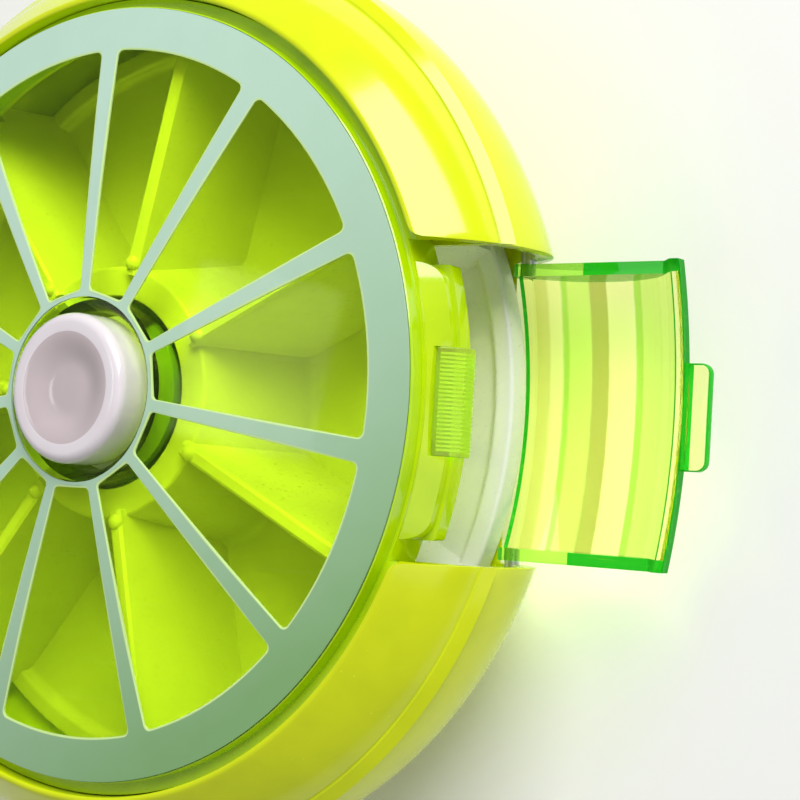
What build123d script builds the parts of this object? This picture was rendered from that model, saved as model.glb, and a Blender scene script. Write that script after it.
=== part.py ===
from build123d import *
import os
from math import asin, ceil, cos, degrees, radians, sin, sqrt, tan

# Rotating pill organiser, in millimetres.
# The origin is on the turning axis at the table, +Z is up and +X points at the flap door.
# The door is drawn open, as the organiser is used, and the tray stands with one compartment at the door.

# Driving sizes of the casing
COVER_R = 36.2
COVER_EDGE_Z = 23.9
COVER_WALL = 1.5
DOME_RISE = 1.65
TRENCH = 1.2
LIP_WALL = 0.5
LIP_DROP = 0.1
LIP_CHAMFER = 0.2
SHELL_SWELL = 7.6
SHOULDER_R = 11.5
SHOULDER_SLOPE = 41.0
BELLY_R = 8.7
BELLY_SLOPE = 25.0
WALL = 1.6
FOOT_H = 1.2
FOOT_W = 2.0
PARTING_Z = 6.2
TONGUE_H = 0.5
TONGUE_W = 1.0
LEDGE_H = 0.8
LEDGE_OVERLAP = 1.4

# Driving sizes of the door and its opening
OPENING_HALF = 13.6
OPENING_CORNER = 1.2
HINGE_INSET = 6.7
HINGE_Z = 7.7
PIN_R = 0.7
PIN_LENGTH = 2.9
PIN_REACH = 1.8
HINGE_BOSS_WALL = 1.05
HINGE_BOSS_END = 0.6
KNUCKLE_WALL = 0.65
DOOR_WALL = 1.35
DOOR_RIM = 1.1
DOOR_SKIRT = 0.7
DOOR_OPEN_ANGLE = 90.0
CHEEK_W = 1.1
CHEEK_SET_BACK = 1.0
CHEEK_LEAN = 0.4
TAB_HALF = 4.6
TAB_REACH = 2.3
TAB_WALL = 1.0
TAB_CORNER = 0.9
NIB_H = 0.8
NIB_DROP = 3.8
RELIEF_TOP_SET_BACK = 1.1
RELIEF_SLOPE = 35.0

# Driving sizes of the collar and the catch
COLLAR_H = 4.0
COLLAR_SEAT = 1.3
COLLAR_EDGE = 0.3
COLLAR_FLANGE_H = 1.0
BRIDGE_HALF = 11.7
BRIDGE_STEP = 1.6
BRIDGE_CORNER = 2.3
BRIDGE_BEAD_H = 1.5
BRIDGE_BEAD = 0.4
CATCH_DEPTH = 1.4
CATCH_PROUD = 0.4
CATCH_H = 3.1
CATCH_DROP = 0.9
CATCH_CREST_W = 0.5
CATCH_TEETH = 9
CATCH_GROOVE = 0.3

# Driving sizes of the citrus print
PRINT_EDGE = 0.2
PRINT_FILM = 0.2
SEGMENTS = 11
RIND_W = 4.0
RIB_W_INNER = 1.1
RIB_W_OUTER = 1.9
CORE_W = 0.6
WINDOW_CORNER = 3.2
WINDOW_TIP = 0.6

# Driving sizes of the tray
COMPARTMENTS = 7
TRAY_FLOOR = 1.35
TRAY_LIP_W = 1.9
TRAY_LIP_H = 1.1
DIVIDER_TOP_W = 1.4
DIVIDER_DRAFT = 5.0
DIVIDER_STEP_H = 8.8
DIVIDER_SHOULDER_GAP = 0.3
BEAD_R = 0.8
BEAD_H = 0.5
HUB_FOOT_R = 14.6
HUB_TOP_R = 11.9
HUB_WALL = 1.4
HUB_DROP = 0.8
BORE_R = 12.2
BORE_H = 4.35
DIMPLE_R = 1.6
DIMPLE_DEPTH = 0.5

# Driving sizes of the base's inside
FLOOR_WALL = 1.6
TOWER_R = 8.0
TOWER_H = 3.2
BOSS_WALL = 1.15
BOSS_ENTRY = 0.65
GLIDE_R = 19.0
GLIDE_W = 2.0
GLIDE_H = 1.0
TRACK_W = 3.0
BASE_RIBS = 6
BASE_RIB_W = 1.2
BASE_RIB_H = 1.8
DETENT_INSET = 10.4
DETENT_ANGLE = 180.0
DETENT_W = 4.0
DETENT_LENGTH = 13.0
DETENT_STRIP = 0.7
DETENT_POST_H = 2.2
NOSE_R = 1.3
RIVET_R = 1.0
RIVET_HEAD = 0.5
RIVET_HEAD_R = 1.7

# Driving sizes of the button and its drive
BUTTON_R = 7.0
BUTTON_TOP_Z = 27.5
BUTTON_WALL = 1.1
BUTTON_DISH = 0.8
BUTTON_ROUND = 0.9
BUTTON_TRAVEL = 2.5
NECK_WALL = 1.4
NECK_FLARE = 1.1
NECK_LEDGE = 0.5
NECK_LEDGE_H = 0.6
SEAT_DEPTH = 7.6
SEAT_H = 0.8
SEAT_HOLE_R = 4.3
SPINDLE_FLANGE_R = 6.5
SPINDLE_FLANGE_H = 1.2
SPINDLE_R = 2.1
SPINDLE_GROOVE = 0.6
SPINDLE_GROOVE_W = 1.0
SCREW_R = 0.95
SCREW_BITE = 5.0
SCREW_HEAD_R = 2.8
SCREW_HEAD_H = 1.5
SCREW_SLOT_W = 0.7
SCREW_SLOT_DEPTH = 0.8
COUNTERBORE_DEPTH = 2.2
WASHER_H = 0.5
WASHER_WALL = 2.0
PLUNGER_WALL = 1.2
LUG_R = 0.7
LUG_RISE = 1.7
LUGS = 3
ROTOR_WALL = 1.85
ROTOR_FLANGE_R = 8.0
ROTOR_FLANGE_H = 0.6
PAWL_H = 2.0
PAWL_RING_W = 1.3
PAWL_ARM_W = 0.9
PAWL_BEND = 0.5
PAWL_BEND_TURN = 35.0
PAWL_TURN = 75.0
PAWLS = 3
RATCHET_TEETH = 14
RATCHET_RIM = 0.9
TOOTH_DEPTH = 1.1
CROWN_H = 2.8
SPRING_WIRE = 0.45
SPRING_R = 4.9
SPRING_TURNS = 3.5

# Named clearances
RUNNING_FIT = 0.05
SLIDING_GAP = 0.1
LOOSE_GAP = 0.3
DOOR_GAP = 0.4
TRAY_GAP = 1.0
DOOR_FOOT_GAP = 2.6

# Places that follow from the sizes above
LIP_IN_R = COVER_R + TRENCH
LIP_R = LIP_IN_R + LIP_WALL
LIP_Z = COVER_EDGE_Z - LIP_DROP
SHELL_R = COVER_R + SHELL_SWELL
SHOULDER_TURN = 90 - SHOULDER_SLOPE
BELLY_TURN = 90 - BELLY_SLOPE
SHOULDER_C = SHELL_R - SHOULDER_R
BELLY_C = SHELL_R - BELLY_R
TANGENT_R = SHOULDER_C + SHOULDER_R * cos(radians(SHOULDER_TURN))
WIDE_Z = (LIP_Z - (TANGENT_R - LIP_R) * tan(radians(SHOULDER_SLOPE))
          - SHOULDER_R * sin(radians(SHOULDER_TURN)))
COVER_SEAT_Z = COVER_EDGE_Z - COVER_WALL
COLLAR_IN_R = COVER_R - COLLAR_SEAT
COLLAR_R = COVER_R + COLLAR_EDGE
COLLAR_Z = COVER_SEAT_Z - COLLAR_H
BRIDGE_R = COLLAR_R + BRIDGE_STEP
BEAD_RING_R = BRIDGE_R + BRIDGE_BEAD
CATCH_TOP_Z = COVER_SEAT_Z - CATCH_DROP
FLOOR_TOP_Z = FOOT_H + FLOOR_WALL
TOWER_TOP_Z = FLOOR_TOP_Z + TOWER_H
TRAY_Z = TOWER_TOP_Z + GLIDE_H + RUNNING_FIT
TRAY_FLOOR_Z = TRAY_Z + TRAY_FLOOR
DIVIDER_TOP_Z = COVER_SEAT_Z - LOOSE_GAP
HUB_TOP_Z = DIVIDER_TOP_Z - HUB_DROP
BORE_TOP_Z = TRAY_Z + BORE_H
BOSS_R = BORE_R - RUNNING_FIT
BOSS_TOP_Z = TRAY_Z + BOSS_ENTRY
CROWN_Z = BOSS_TOP_Z + LOOSE_GAP
HINGE_X = SHELL_R - HINGE_INSET
DOOR_BOTTOM_Z = HINGE_Z - DOOR_SKIRT
DOOR_HALF = OPENING_HALF - DOOR_GAP
SEAT_Z = BUTTON_TOP_Z - SEAT_DEPTH
FLANGE_TOP_Z = TOWER_TOP_Z + SPINDLE_FLANGE_H
ROTOR_Z = FLANGE_TOP_Z + WASHER_H + SLIDING_GAP
ROTOR_FLANGE_TOP_Z = ROTOR_Z + ROTOR_FLANGE_H
ROTOR_TOP_Z = SEAT_Z - 2 * SLIDING_GAP
PLUNGER_IN_R = SPINDLE_R + SLIDING_GAP
PLUNGER_R = PLUNGER_IN_R + PLUNGER_WALL
PLUNGER_Z = FLANGE_TOP_Z + BUTTON_TRAVEL + LOOSE_GAP + 2 * SLIDING_GAP
ROTOR_IN_R = PLUNGER_R + LOOSE_GAP + RUNNING_FIT
ROTOR_R = ROTOR_IN_R + ROTOR_WALL
LUG_Z = PLUNGER_Z + LUG_RISE
SEAT_TOP_Z = SEAT_Z + SEAT_H
SKIRT_Z = SEAT_TOP_Z + BUTTON_TRAVEL + 2 * SLIDING_GAP
BUTTON_UNDER_Z = BUTTON_TOP_Z - BUTTON_WALL - BUTTON_DISH
NECK_IN_R = BUTTON_R + DOOR_GAP
NECK_R = NECK_IN_R + NECK_WALL
NECK_Z = SEAT_Z - NECK_LEDGE_H
STEP_TURN = 360 / COMPARTMENTS


def at(r, z):
    """Point of a turned outline, at radius r and height z."""
    return Vector(r, 0, z)


def on_arc(centre_r, centre_z, radius, angle):
    """Point of a turned outline's arc, with the angle in degrees up from the horizontal."""
    return at(centre_r + radius * cos(radians(angle)), centre_z + radius * sin(radians(angle)))


def turned(*lines):
    """Solid of revolution about the axis, from the lines of a closed outline."""
    edges = [edge for line in lines for edge in line.edges()]
    return revolve(make_face(edges), Axis.Z)


def disc(r, low, high):
    """Plain disc about the axis."""
    return Pos(0, 0, low) * Cylinder(r, high - low, align=(Align.CENTER, Align.CENTER, Align.MIN))


def ring(r_in, r_out, low, high):
    """Plain ring about the axis."""
    return disc(r_out, low, high) - disc(r_in, low, high)


def block(x_low, x_high, y_low, y_high, z_low, z_high):
    """Box between two corners."""
    centre = Pos((x_low + x_high) / 2, (y_low + y_high) / 2, (z_low + z_high) / 2)
    return centre * Box(x_high - x_low, y_high - y_low, z_high - z_low)


def prism(outline, y_low, y_high):
    """Solid between two values of y, with a closed outline of (x, z) corners."""
    face = make_face(Polyline(*[Vector(x, y_low, z) for x, z in outline], close=True).edges())
    return extrude(face, amount=y_high - y_low, dir=(0, 1, 0))


def cross_pin(r, y_low, y_high):
    """Round bar along the hinge axis."""
    bar = Cylinder(r, y_high - y_low, align=(Align.CENTER, Align.CENTER, Align.MIN))
    return Pos(HINGE_X, y_low, HINGE_Z) * Rot(-90, 0, 0) * bar


def both_sides(shape):
    """The shape and its mirror image across the plane through the axis and the door."""
    return shape + mirror(shape, Plane.XZ)


def top_line_r(inset, z):
    """Radius of the casing's sloped top face at a height, moved in by inset."""
    along = tan(radians(SHOULDER_SLOPE))
    start = on_arc(SHOULDER_C, WIDE_Z, SHOULDER_R - inset, SHOULDER_TURN)
    return start.X - (z - start.Z) / along


def side_r(inset, z):
    """Radius of the casing's lower half at a height, moved in by inset."""
    radius = BELLY_R - inset
    arc_end = on_arc(BELLY_C, WIDE_Z, radius, -BELLY_TURN)
    if z > arc_end.Z:
        return BELLY_C + sqrt(radius ** 2 - (WIDE_Z - z) ** 2)
    return arc_end.X - (arc_end.Z - z) / tan(radians(BELLY_SLOPE))


def lower_outline(inset, z):
    """Outline of the casing's lower half, from height z up to its widest circle."""
    radius = BELLY_R - inset
    arc_end = on_arc(BELLY_C, WIDE_Z, radius, -BELLY_TURN)
    widest = at(BELLY_C + radius, WIDE_Z)
    if z < arc_end.Z:
        middle = on_arc(BELLY_C, WIDE_Z, radius, -BELLY_TURN / 2)
        start = at(side_r(inset, z), z)
        return start, [Line(start, arc_end), ThreePointArc(arc_end, middle, widest)]
    turn = degrees(asin((WIDE_Z - z) / radius))
    start = on_arc(BELLY_C, WIDE_Z, radius, -turn)
    return start, [ThreePointArc(start, on_arc(BELLY_C, WIDE_Z, radius, -turn / 2), widest)]


def casing_form(inset, low, high):
    """The rounded body of the whole casing between two heights, moved in by inset."""
    start, lower = lower_outline(inset, low)
    radius = SHOULDER_R - inset
    widest = at(SHOULDER_C + radius, WIDE_Z)
    middle = on_arc(SHOULDER_C, WIDE_Z, radius, SHOULDER_TURN / 2)
    tangent = on_arc(SHOULDER_C, WIDE_Z, radius, SHOULDER_TURN)
    top = at(top_line_r(inset, high), high)
    upper = [ThreePointArc(widest, middle, tangent), Line(tangent, top)]
    core = Polyline(top, at(0, high), at(0, low), start)
    return turned(*lower, *upper, core)


def belly_form(inset, low):
    """The casing's lower half, from a height up to its widest circle, moved in by inset."""
    start, lower = lower_outline(inset, low)
    core = Polyline(at(SHELL_R - inset, WIDE_Z), at(0, WIDE_Z), at(0, low), start)
    return turned(*lower, core)


def relief(depth):
    """Room below the open door: everything outside a slanted plane, moved in by depth."""
    lean = tan(radians(RELIEF_SLOPE))
    top_x = HINGE_X - RELIEF_TOP_SET_BACK - depth / cos(radians(RELIEF_SLOPE))
    foot_x = top_x - HINGE_Z * lean
    reach = 2 * SHELL_R
    rise = (reach - HINGE_Z) * lean
    half = OPENING_HALF + depth
    outline = [(foot_x - lean, -1), (reach, -1), (reach, reach), (top_x + rise, reach)]
    return prism(outline, -half, half)


def base_dish():
    """Underside moulding: foot ring, slanted relief, tongue, bearing boss, tower, track and ribs."""
    outer = belly_form(0, FOOT_H) - disc(SHELL_R + 1, PARTING_Z, 2 * WIDE_Z) - relief(0)
    inner = belly_form(WALL, FLOOR_TOP_Z) - relief(WALL)
    foot_r = side_r(0, FOOT_H)
    foot = ring(foot_r - FOOT_W, foot_r, 0, FOOT_H) - relief(0)
    tongue_r = side_r(WALL, PARTING_Z + TONGUE_H) - RUNNING_FIT
    tongue_top = PARTING_Z + TONGUE_H
    tongue = ring(tongue_r - TONGUE_W, tongue_r, PARTING_Z - TONGUE_W, tongue_top) - relief(0)
    tower = disc(TOWER_R, FOOT_H, TOWER_TOP_Z)
    boss = ring(BOSS_R - BOSS_WALL, BOSS_R, FOOT_H, BOSS_TOP_Z)
    track = ring(GLIDE_R - TRACK_W / 2, GLIDE_R + TRACK_W / 2, FOOT_H, TOWER_TOP_Z)
    rib_end = side_r(WALL, FLOOR_TOP_Z) - WALL
    rib = block(BOSS_R - BOSS_WALL / 2, rib_end, -BASE_RIB_W / 2, BASE_RIB_W / 2,
                FOOT_H, FLOOR_TOP_Z + BASE_RIB_H)
    turns = [Rot(0, 0, (i + 0.5) * 360 / BASE_RIBS) for i in range(BASE_RIBS)]
    dish = (outer - inner) + foot + tongue + tower + boss + track
    dish += [turn * rib for turn in turns]
    post = detent_place() * block(-DETENT_W / 2, DETENT_W / 2, -DETENT_W / 2, DETENT_W / 2,
                                  FOOT_H, FLOOR_TOP_Z + DETENT_POST_H)
    dish += post & belly_form(WALL / 2, FOOT_H)
    dish -= disc(SCREW_HEAD_R + DOOR_GAP, 0, FOOT_H + COUNTERBORE_DEPTH)
    dish -= disc(SCREW_R + LOOSE_GAP, 0, TOWER_TOP_Z)
    dish -= detent_place() * disc(RIVET_R, FLOOR_TOP_Z, TRAY_Z)
    return dish


def opening_cut():
    """Room that the door's opening takes out of the casing wall, with rounded corners at the lip."""
    straight = block(COLLAR_IN_R, 2 * SHELL_R, -OPENING_HALF, OPENING_HALF, 0, 2 * LIP_Z)
    mouth = Circle(LIP_IN_R) + Pos(SHELL_R, 0) * Rectangle(SHELL_R, 2 * OPENING_HALF)
    corners = mouth.vertices().filter_by_position(Axis.X, SHELL_R / 2 + 1, SHELL_R)
    mouth = fillet(corners, OPENING_CORNER)
    flared = extrude(Pos(0, 0, COVER_SEAT_Z - LIP_CHAMFER) * mouth, 2 * COVER_WALL)
    return straight + flared


def outer_shell():
    """Upper casing: rounded wall, lip, inner ledge for the collar and the hinge holes."""
    solid = casing_form(0, PARTING_Z, LIP_Z) - casing_form(WALL, PARTING_Z - 1, LIP_Z + 1)
    solid -= disc(LIP_IN_R, WIDE_Z, 2 * LIP_Z)
    lip_edges = solid.edges().filter_by(GeomType.CIRCLE).group_by(Axis.Z)[-1]
    solid = chamfer(lip_edges, min(LIP_CHAMFER, LIP_WALL / 3))
    ledge = casing_form(WALL / 2, PARTING_Z, LIP_Z) & ring(COLLAR_R - LEDGE_OVERLAP, SHELL_R,
                                                         COLLAR_Z - LEDGE_H, COLLAR_Z)
    tongue_top = PARTING_Z + TONGUE_H
    tongue_room = disc(side_r(WALL, tongue_top), PARTING_Z - 1, tongue_top + SLIDING_GAP)
    solid = (solid + ledge) - tongue_room - opening_cut()
    boss_end = OPENING_HALF + PIN_REACH + HINGE_BOSS_END
    bosses = both_sides(cross_pin(PIN_R + HINGE_BOSS_WALL, OPENING_HALF, boss_end))
    bosses &= casing_form(WALL / 4, PARTING_Z, LIP_Z)
    bosses -= disc(tray_r() + LOOSE_GAP, 0, LIP_Z)
    holes = both_sides(cross_pin(PIN_R + RUNNING_FIT, OPENING_HALF - 1, OPENING_HALF + PIN_REACH))
    return solid + bosses - holes


def bridge_plan(r, corner):
    """Plan of the bridge: a disc's slice across the opening, with its outer corners rounded."""
    plan = Circle(r) & Pos(SHELL_R / 2, 0) * Rectangle(SHELL_R, 2 * BRIDGE_HALF)
    return fillet(plan.vertices().group_by(Axis.X)[-1], corner)


def collar_ring():
    """Ring under the cover's edge, with a flange inside the lip and a sloped bridge across the opening."""
    top = COVER_SEAT_Z
    plain = ring(COLLAR_IN_R, COLLAR_R, COLLAR_Z, top)
    flange = ring(COLLAR_IN_R, LIP_IN_R - SLIDING_GAP, top - COLLAR_FLANGE_H, top)
    flange -= block(0, 2 * SHELL_R, -OPENING_HALF, OPENING_HALF, 0, 2 * top)
    shoulder_z = top - (BRIDGE_R - COVER_R) * tan(radians(SHOULDER_SLOPE))
    crest = turned(Polyline(at(COLLAR_IN_R, COLLAR_Z), at(BRIDGE_R, COLLAR_Z), at(BRIDGE_R, shoulder_z),
                            at(COVER_R, top), at(COLLAR_IN_R, top), close=True))
    plan = bridge_plan(BRIDGE_R, min(BRIDGE_CORNER, BRIDGE_R - COLLAR_IN_R))
    bridge = crest & extrude(Pos(0, 0, COLLAR_Z) * plan, COLLAR_H)
    bead_plan = bridge_plan(BEAD_RING_R, BRIDGE_BEAD) - Circle(COLLAR_IN_R)
    bead = extrude(Pos(0, 0, COLLAR_Z) * bead_plan, BRIDGE_BEAD_H)
    notch = block(BRIDGE_R - CATCH_DEPTH, 2 * SHELL_R, -TAB_HALF, TAB_HALF, 0, 2 * top)
    return plain + flange + bridge + bead - notch


def door_catch():
    """Serrated catch seated in the bridge's notch, with a top that slopes as the bridge does."""
    back = BRIDGE_R - CATCH_DEPTH
    front = BEAD_RING_R + CATCH_PROUD
    crest = back + CATCH_CREST_W
    shoulder_z = CATCH_TOP_Z - (front - crest) * tan(radians(SHOULDER_SLOPE))
    body = prism([(back, CATCH_TOP_Z - CATCH_H), (front, CATCH_TOP_Z - CATCH_H), (front, shoulder_z),
                  (crest, CATCH_TOP_Z), (back, CATCH_TOP_Z)], -TAB_HALF, TAB_HALF)
    pitch = 2 * TAB_HALF / (CATCH_TEETH + 1)
    groove = Cylinder(CATCH_GROOVE, 2 * CATCH_H)
    middle_z = CATCH_TOP_Z - CATCH_H / 2
    for i in range(CATCH_TEETH):
        body -= Pos(front + CATCH_GROOVE / 3, (i + 1) * pitch - TAB_HALF, middle_z) * groove
    return body


def dome_z(r, lift):
    """Height of the cover's domed face at a radius, lifted above the moulded face."""
    sphere_r = (COVER_R ** 2 + DOME_RISE ** 2) / (2 * DOME_RISE)
    return COVER_EDGE_Z + DOME_RISE - sphere_r + sqrt(sphere_r ** 2 - r ** 2) + lift


def dome_arc(r_from, r_to, lift):
    """Arc of the domed face between two radii."""
    middle = (r_from + r_to) / 2
    return ThreePointArc(at(r_from, dome_z(r_from, lift)), at(middle, dome_z(middle, lift)),
                         at(r_to, dome_z(r_to, lift)))


def clear_cover():
    """Clear domed cover with a flared neck round the button and a ledge for the spring seat."""
    mouth_r = NECK_IN_R + NECK_FLARE
    flare_z = dome_z(mouth_r, 0) - 2 * NECK_FLARE
    top = dome_arc(mouth_r, COVER_R, 0)
    under = dome_arc(NECK_R, COVER_R, -COVER_WALL)
    neck = Polyline(at(mouth_r, dome_z(mouth_r, 0)), at(NECK_IN_R, flare_z), at(NECK_IN_R, SEAT_Z),
                    at(NECK_IN_R - NECK_LEDGE, SEAT_Z), at(NECK_IN_R - NECK_LEDGE, NECK_Z),
                    at(NECK_R, NECK_Z), at(NECK_R, dome_z(NECK_R, -COVER_WALL)))
    rim = Line(at(COVER_R, dome_z(COVER_R, 0)), at(COVER_R, dome_z(COVER_R, -COVER_WALL)))
    cover = turned(top, under, neck, rim)
    rim_edge = cover.edges().filter_by(GeomType.CIRCLE).sort_by(Axis.Z).filter_by(
        lambda e: abs(e.radius - COVER_R) < 0.01)[-1]
    return chamfer(rim_edge, LIP_CHAMFER)


def print_window():
    """One clear window between two ribs of the citrus print."""
    half_turn = radians(180 / SEGMENTS)
    print_r = COVER_R - PRINT_EDGE
    r_in = NECK_IN_R + NECK_FLARE + CORE_W + PRINT_EDGE
    r_out = print_r - RIND_W

    def corner(r, rib_w, side):
        turn = half_turn - asin(rib_w / 2 / r)
        return Vector(r * cos(turn), side * r * sin(turn))

    tips = [corner(r_in, RIB_W_INNER, side) for side in (-1, 1)]
    ends = [corner(r_out, RIB_W_OUTER, side) for side in (-1, 1)]
    edges = [Line(tips[0], ends[0]), ThreePointArc(ends[0], Vector(r_out, 0), ends[1]),
             Line(ends[1], tips[1]), ThreePointArc(tips[1], Vector(r_in, 0), tips[0])]
    window = make_face([edge for line in edges for edge in line.edges()])
    by_x = window.vertices().sort_by(Axis.X)
    window = fillet(by_x[-2:], WINDOW_CORNER)
    return fillet(window.vertices().sort_by(Axis.X)[:2], WINDOW_TIP)


def slice_print():
    """Citrus-slice film on the cover: rind ring, ribs that flare outwards and a thin core ring."""
    print_r = COVER_R - PRINT_EDGE
    core_r = NECK_IN_R + NECK_FLARE + PRINT_EDGE
    pattern = Circle(print_r) - Circle(core_r)
    window = print_window()
    first = 90 + 180 / SEGMENTS
    for i in range(SEGMENTS):
        pattern -= Rot(0, 0, first + i * 360 / SEGMENTS) * window
    top = dome_arc(core_r / 2, COVER_R, PRINT_FILM)
    under = dome_arc(core_r / 2, COVER_R, 0)
    closes = [Line(at(r, dome_z(r, 0)), at(r, dome_z(r, PRINT_FILM))) for r in (core_r / 2, COVER_R)]
    film = turned(top, under, *closes)
    low = COVER_EDGE_Z - COVER_WALL
    return film & extrude(Pos(0, 0, low) * pattern, DOME_RISE + 2 * COVER_WALL)


def spring_seat():
    """Washer on the neck's ledge that the return spring stands on."""
    return ring(SEAT_HOLE_R, NECK_IN_R - RUNNING_FIT, SEAT_Z, SEAT_TOP_Z)


def spindle():
    """Fixed post on a flange, with two grooves that keep the plunger from turning."""
    post = disc(SPINDLE_FLANGE_R, TOWER_TOP_Z, FLANGE_TOP_Z)
    post += disc(SPINDLE_R, FLANGE_TOP_Z, SEAT_Z - SPINDLE_GROOVE)
    groove = block(SPINDLE_R - SPINDLE_GROOVE, SPINDLE_R + 1, -SPINDLE_GROOVE_W / 2, SPINDLE_GROOVE_W / 2,
                   FLANGE_TOP_Z, SEAT_Z)
    post -= groove
    post -= Rot(0, 0, 180) * groove
    return post - disc(SCREW_R + RUNNING_FIT, 0, TOWER_TOP_Z + SCREW_BITE + LOOSE_GAP)


def spindle_screw():
    """Screw from the underside into the spindle, with a slotted head."""
    head_z = FOOT_H + COUNTERBORE_DEPTH
    screw = disc(SCREW_HEAD_R, head_z - SCREW_HEAD_H, head_z) + disc(SCREW_R, head_z, TOWER_TOP_Z + SCREW_BITE)
    slot = block(-SCREW_HEAD_R, SCREW_HEAD_R, -SCREW_SLOT_W / 2, SCREW_SLOT_W / 2,
                 head_z - SCREW_HEAD_H, head_z - SCREW_HEAD_H + SCREW_SLOT_DEPTH)
    return screw - slot


def thrust_washer():
    """Slippery washer between the spindle's flange and the rotor."""
    r_in = PLUNGER_R + 2 * SLIDING_GAP
    return ring(r_in, r_in + WASHER_WALL, FLANGE_TOP_Z, FLANGE_TOP_Z + WASHER_H)


def glide_ring():
    """Ring on the base's track that the tray's floor slides on."""
    return ring(GLIDE_R - GLIDE_W / 2, GLIDE_R + GLIDE_W / 2, TOWER_TOP_Z, TOWER_TOP_Z + GLIDE_H)


def detent_r():
    """Radius of the circle of dimples under the tray, which the detent's nose follows."""
    return tray_r() - DETENT_INSET


def detent_place():
    """Place of the detent arm's fixed end on the base."""
    return Rot(0, 0, DETENT_ANGLE) * Pos(detent_r(), -DETENT_LENGTH, 0)


def detent_arm():
    """Flat spring arm with a nose that finds the dimples under the tray."""
    low = FLOOR_TOP_Z + DETENT_POST_H
    strip = block(-DETENT_W / 2, DETENT_W / 2, -DETENT_W / 2, DETENT_LENGTH + NOSE_R, low, low + DETENT_STRIP)
    strip -= disc(RIVET_R, 0, TRAY_Z)
    nose_top = TRAY_Z - SLIDING_GAP
    bar = Rot(0, 90, 0) * Cylinder(NOSE_R, DETENT_W)
    nose = Pos(0, DETENT_LENGTH, nose_top - NOSE_R) * bar
    nose &= block(-DETENT_W, DETENT_W, 0, 2 * DETENT_LENGTH, low, TRAY_Z)
    return detent_place() * (strip + nose)


def detent_rivet():
    """Rivet through the arm's fixed end."""
    low = FLOOR_TOP_Z + DETENT_POST_H + DETENT_STRIP
    return detent_place() * (disc(RIVET_R, FLOOR_TOP_Z, low) + disc(RIVET_HEAD_R, low, low + RIVET_HEAD))


def tray_r():
    """Radius of the tray's floor."""
    return side_r(WALL, TRAY_Z) - TRAY_GAP


def divider_half(z):
    """Half thickness of a divider at a height, wider towards the floor."""
    return DIVIDER_TOP_W / 2 + (DIVIDER_TOP_Z - z) * tan(radians(DIVIDER_DRAFT))


def divider_blade(r_in, r_out, high):
    """Tapered wall along +X between two radii, up to a height."""
    low = TRAY_Z + TRAY_FLOOR / 2
    corners = [(-divider_half(low), low), (divider_half(low), low), (divider_half(high), high),
               (-divider_half(high), high)]
    points = [Vector(r_in, y, z) for y, z in corners]
    return extrude(make_face(Polyline(*points, close=True).edges()), amount=r_out - r_in, dir=(1, 0, 0))


def compartment_tray():
    """Seven-part tray: floor with lip, tapered dividers, hub cone, bearing bore and dimples."""
    r = tray_r()
    tray = disc(r, TRAY_Z, TRAY_FLOOR_Z) + ring(r - TRAY_LIP_W, r, TRAY_Z, TRAY_FLOOR_Z + TRAY_LIP_H)
    hub = turned(Polyline(at(0, TRAY_Z), at(HUB_FOOT_R, TRAY_Z), at(HUB_FOOT_R, TRAY_FLOOR_Z),
                          at(HUB_TOP_R, HUB_TOP_Z), at(0, HUB_TOP_Z), close=True))
    top_r = COLLAR_IN_R - DIVIDER_SHOULDER_GAP
    blade = divider_blade(HUB_TOP_R - HUB_WALL, top_r, DIVIDER_TOP_Z)
    blade = fillet(blade.edges().filter_by(Axis.X).group_by(Axis.Z)[-1], DIVIDER_TOP_W / 4)
    blade += divider_blade(top_r - 1, r - LOOSE_GAP, TRAY_FLOOR_Z + DIVIDER_STEP_H)
    bead = Pos(HUB_TOP_R + BEAD_H, 0, DIVIDER_TOP_Z - BEAD_R + BEAD_H) * Sphere(BEAD_R)
    blade += bead
    turns = [Rot(0, 0, (i + 0.5) * STEP_TURN) for i in range(COMPARTMENTS)]
    tray += hub
    tray += [turn * blade for turn in turns]
    cone_top_r = HUB_TOP_R - HUB_WALL
    mouth_r = NECK_R + LOOSE_GAP
    bore = turned(Polyline(at(0, TRAY_Z), at(BORE_R, TRAY_Z), at(BORE_R, BORE_TOP_Z),
                           at(cone_top_r, HUB_TOP_Z - HUB_WALL), at(mouth_r, HUB_TOP_Z - HUB_WALL),
                           at(mouth_r, 2 * HUB_TOP_Z), at(0, 2 * HUB_TOP_Z), close=True))
    tray -= bore
    dimple = Pos(detent_r(), 0, TRAY_Z - DIMPLE_R + DIMPLE_DEPTH) * Sphere(DIMPLE_R)
    tray -= [turn * dimple for turn in turns]
    return tray


def ratchet_outline(r_tip, r_root, teeth):
    """Closed saw-tooth outline with teeth that point inwards."""
    points = []
    for i in range(teeth):
        turn = radians(360 * i / teeth)
        points += [Vector(r_tip * cos(turn), r_tip * sin(turn)), Vector(r_root * cos(turn), r_root * sin(turn))]
    return make_face(Polyline(*points, close=True).edges())


def ratchet_crown():
    """Toothed ring pressed into the tray's hub, pushed round by the pawls."""
    root_r = BORE_R - RATCHET_RIM
    hollow = ratchet_outline(root_r - TOOTH_DEPTH, root_r, RATCHET_TEETH)
    hole = extrude(Pos(0, 0, CROWN_Z - 1) * hollow, CROWN_H + 2)
    return disc(BORE_R, CROWN_Z, CROWN_Z + CROWN_H) - hole


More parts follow.
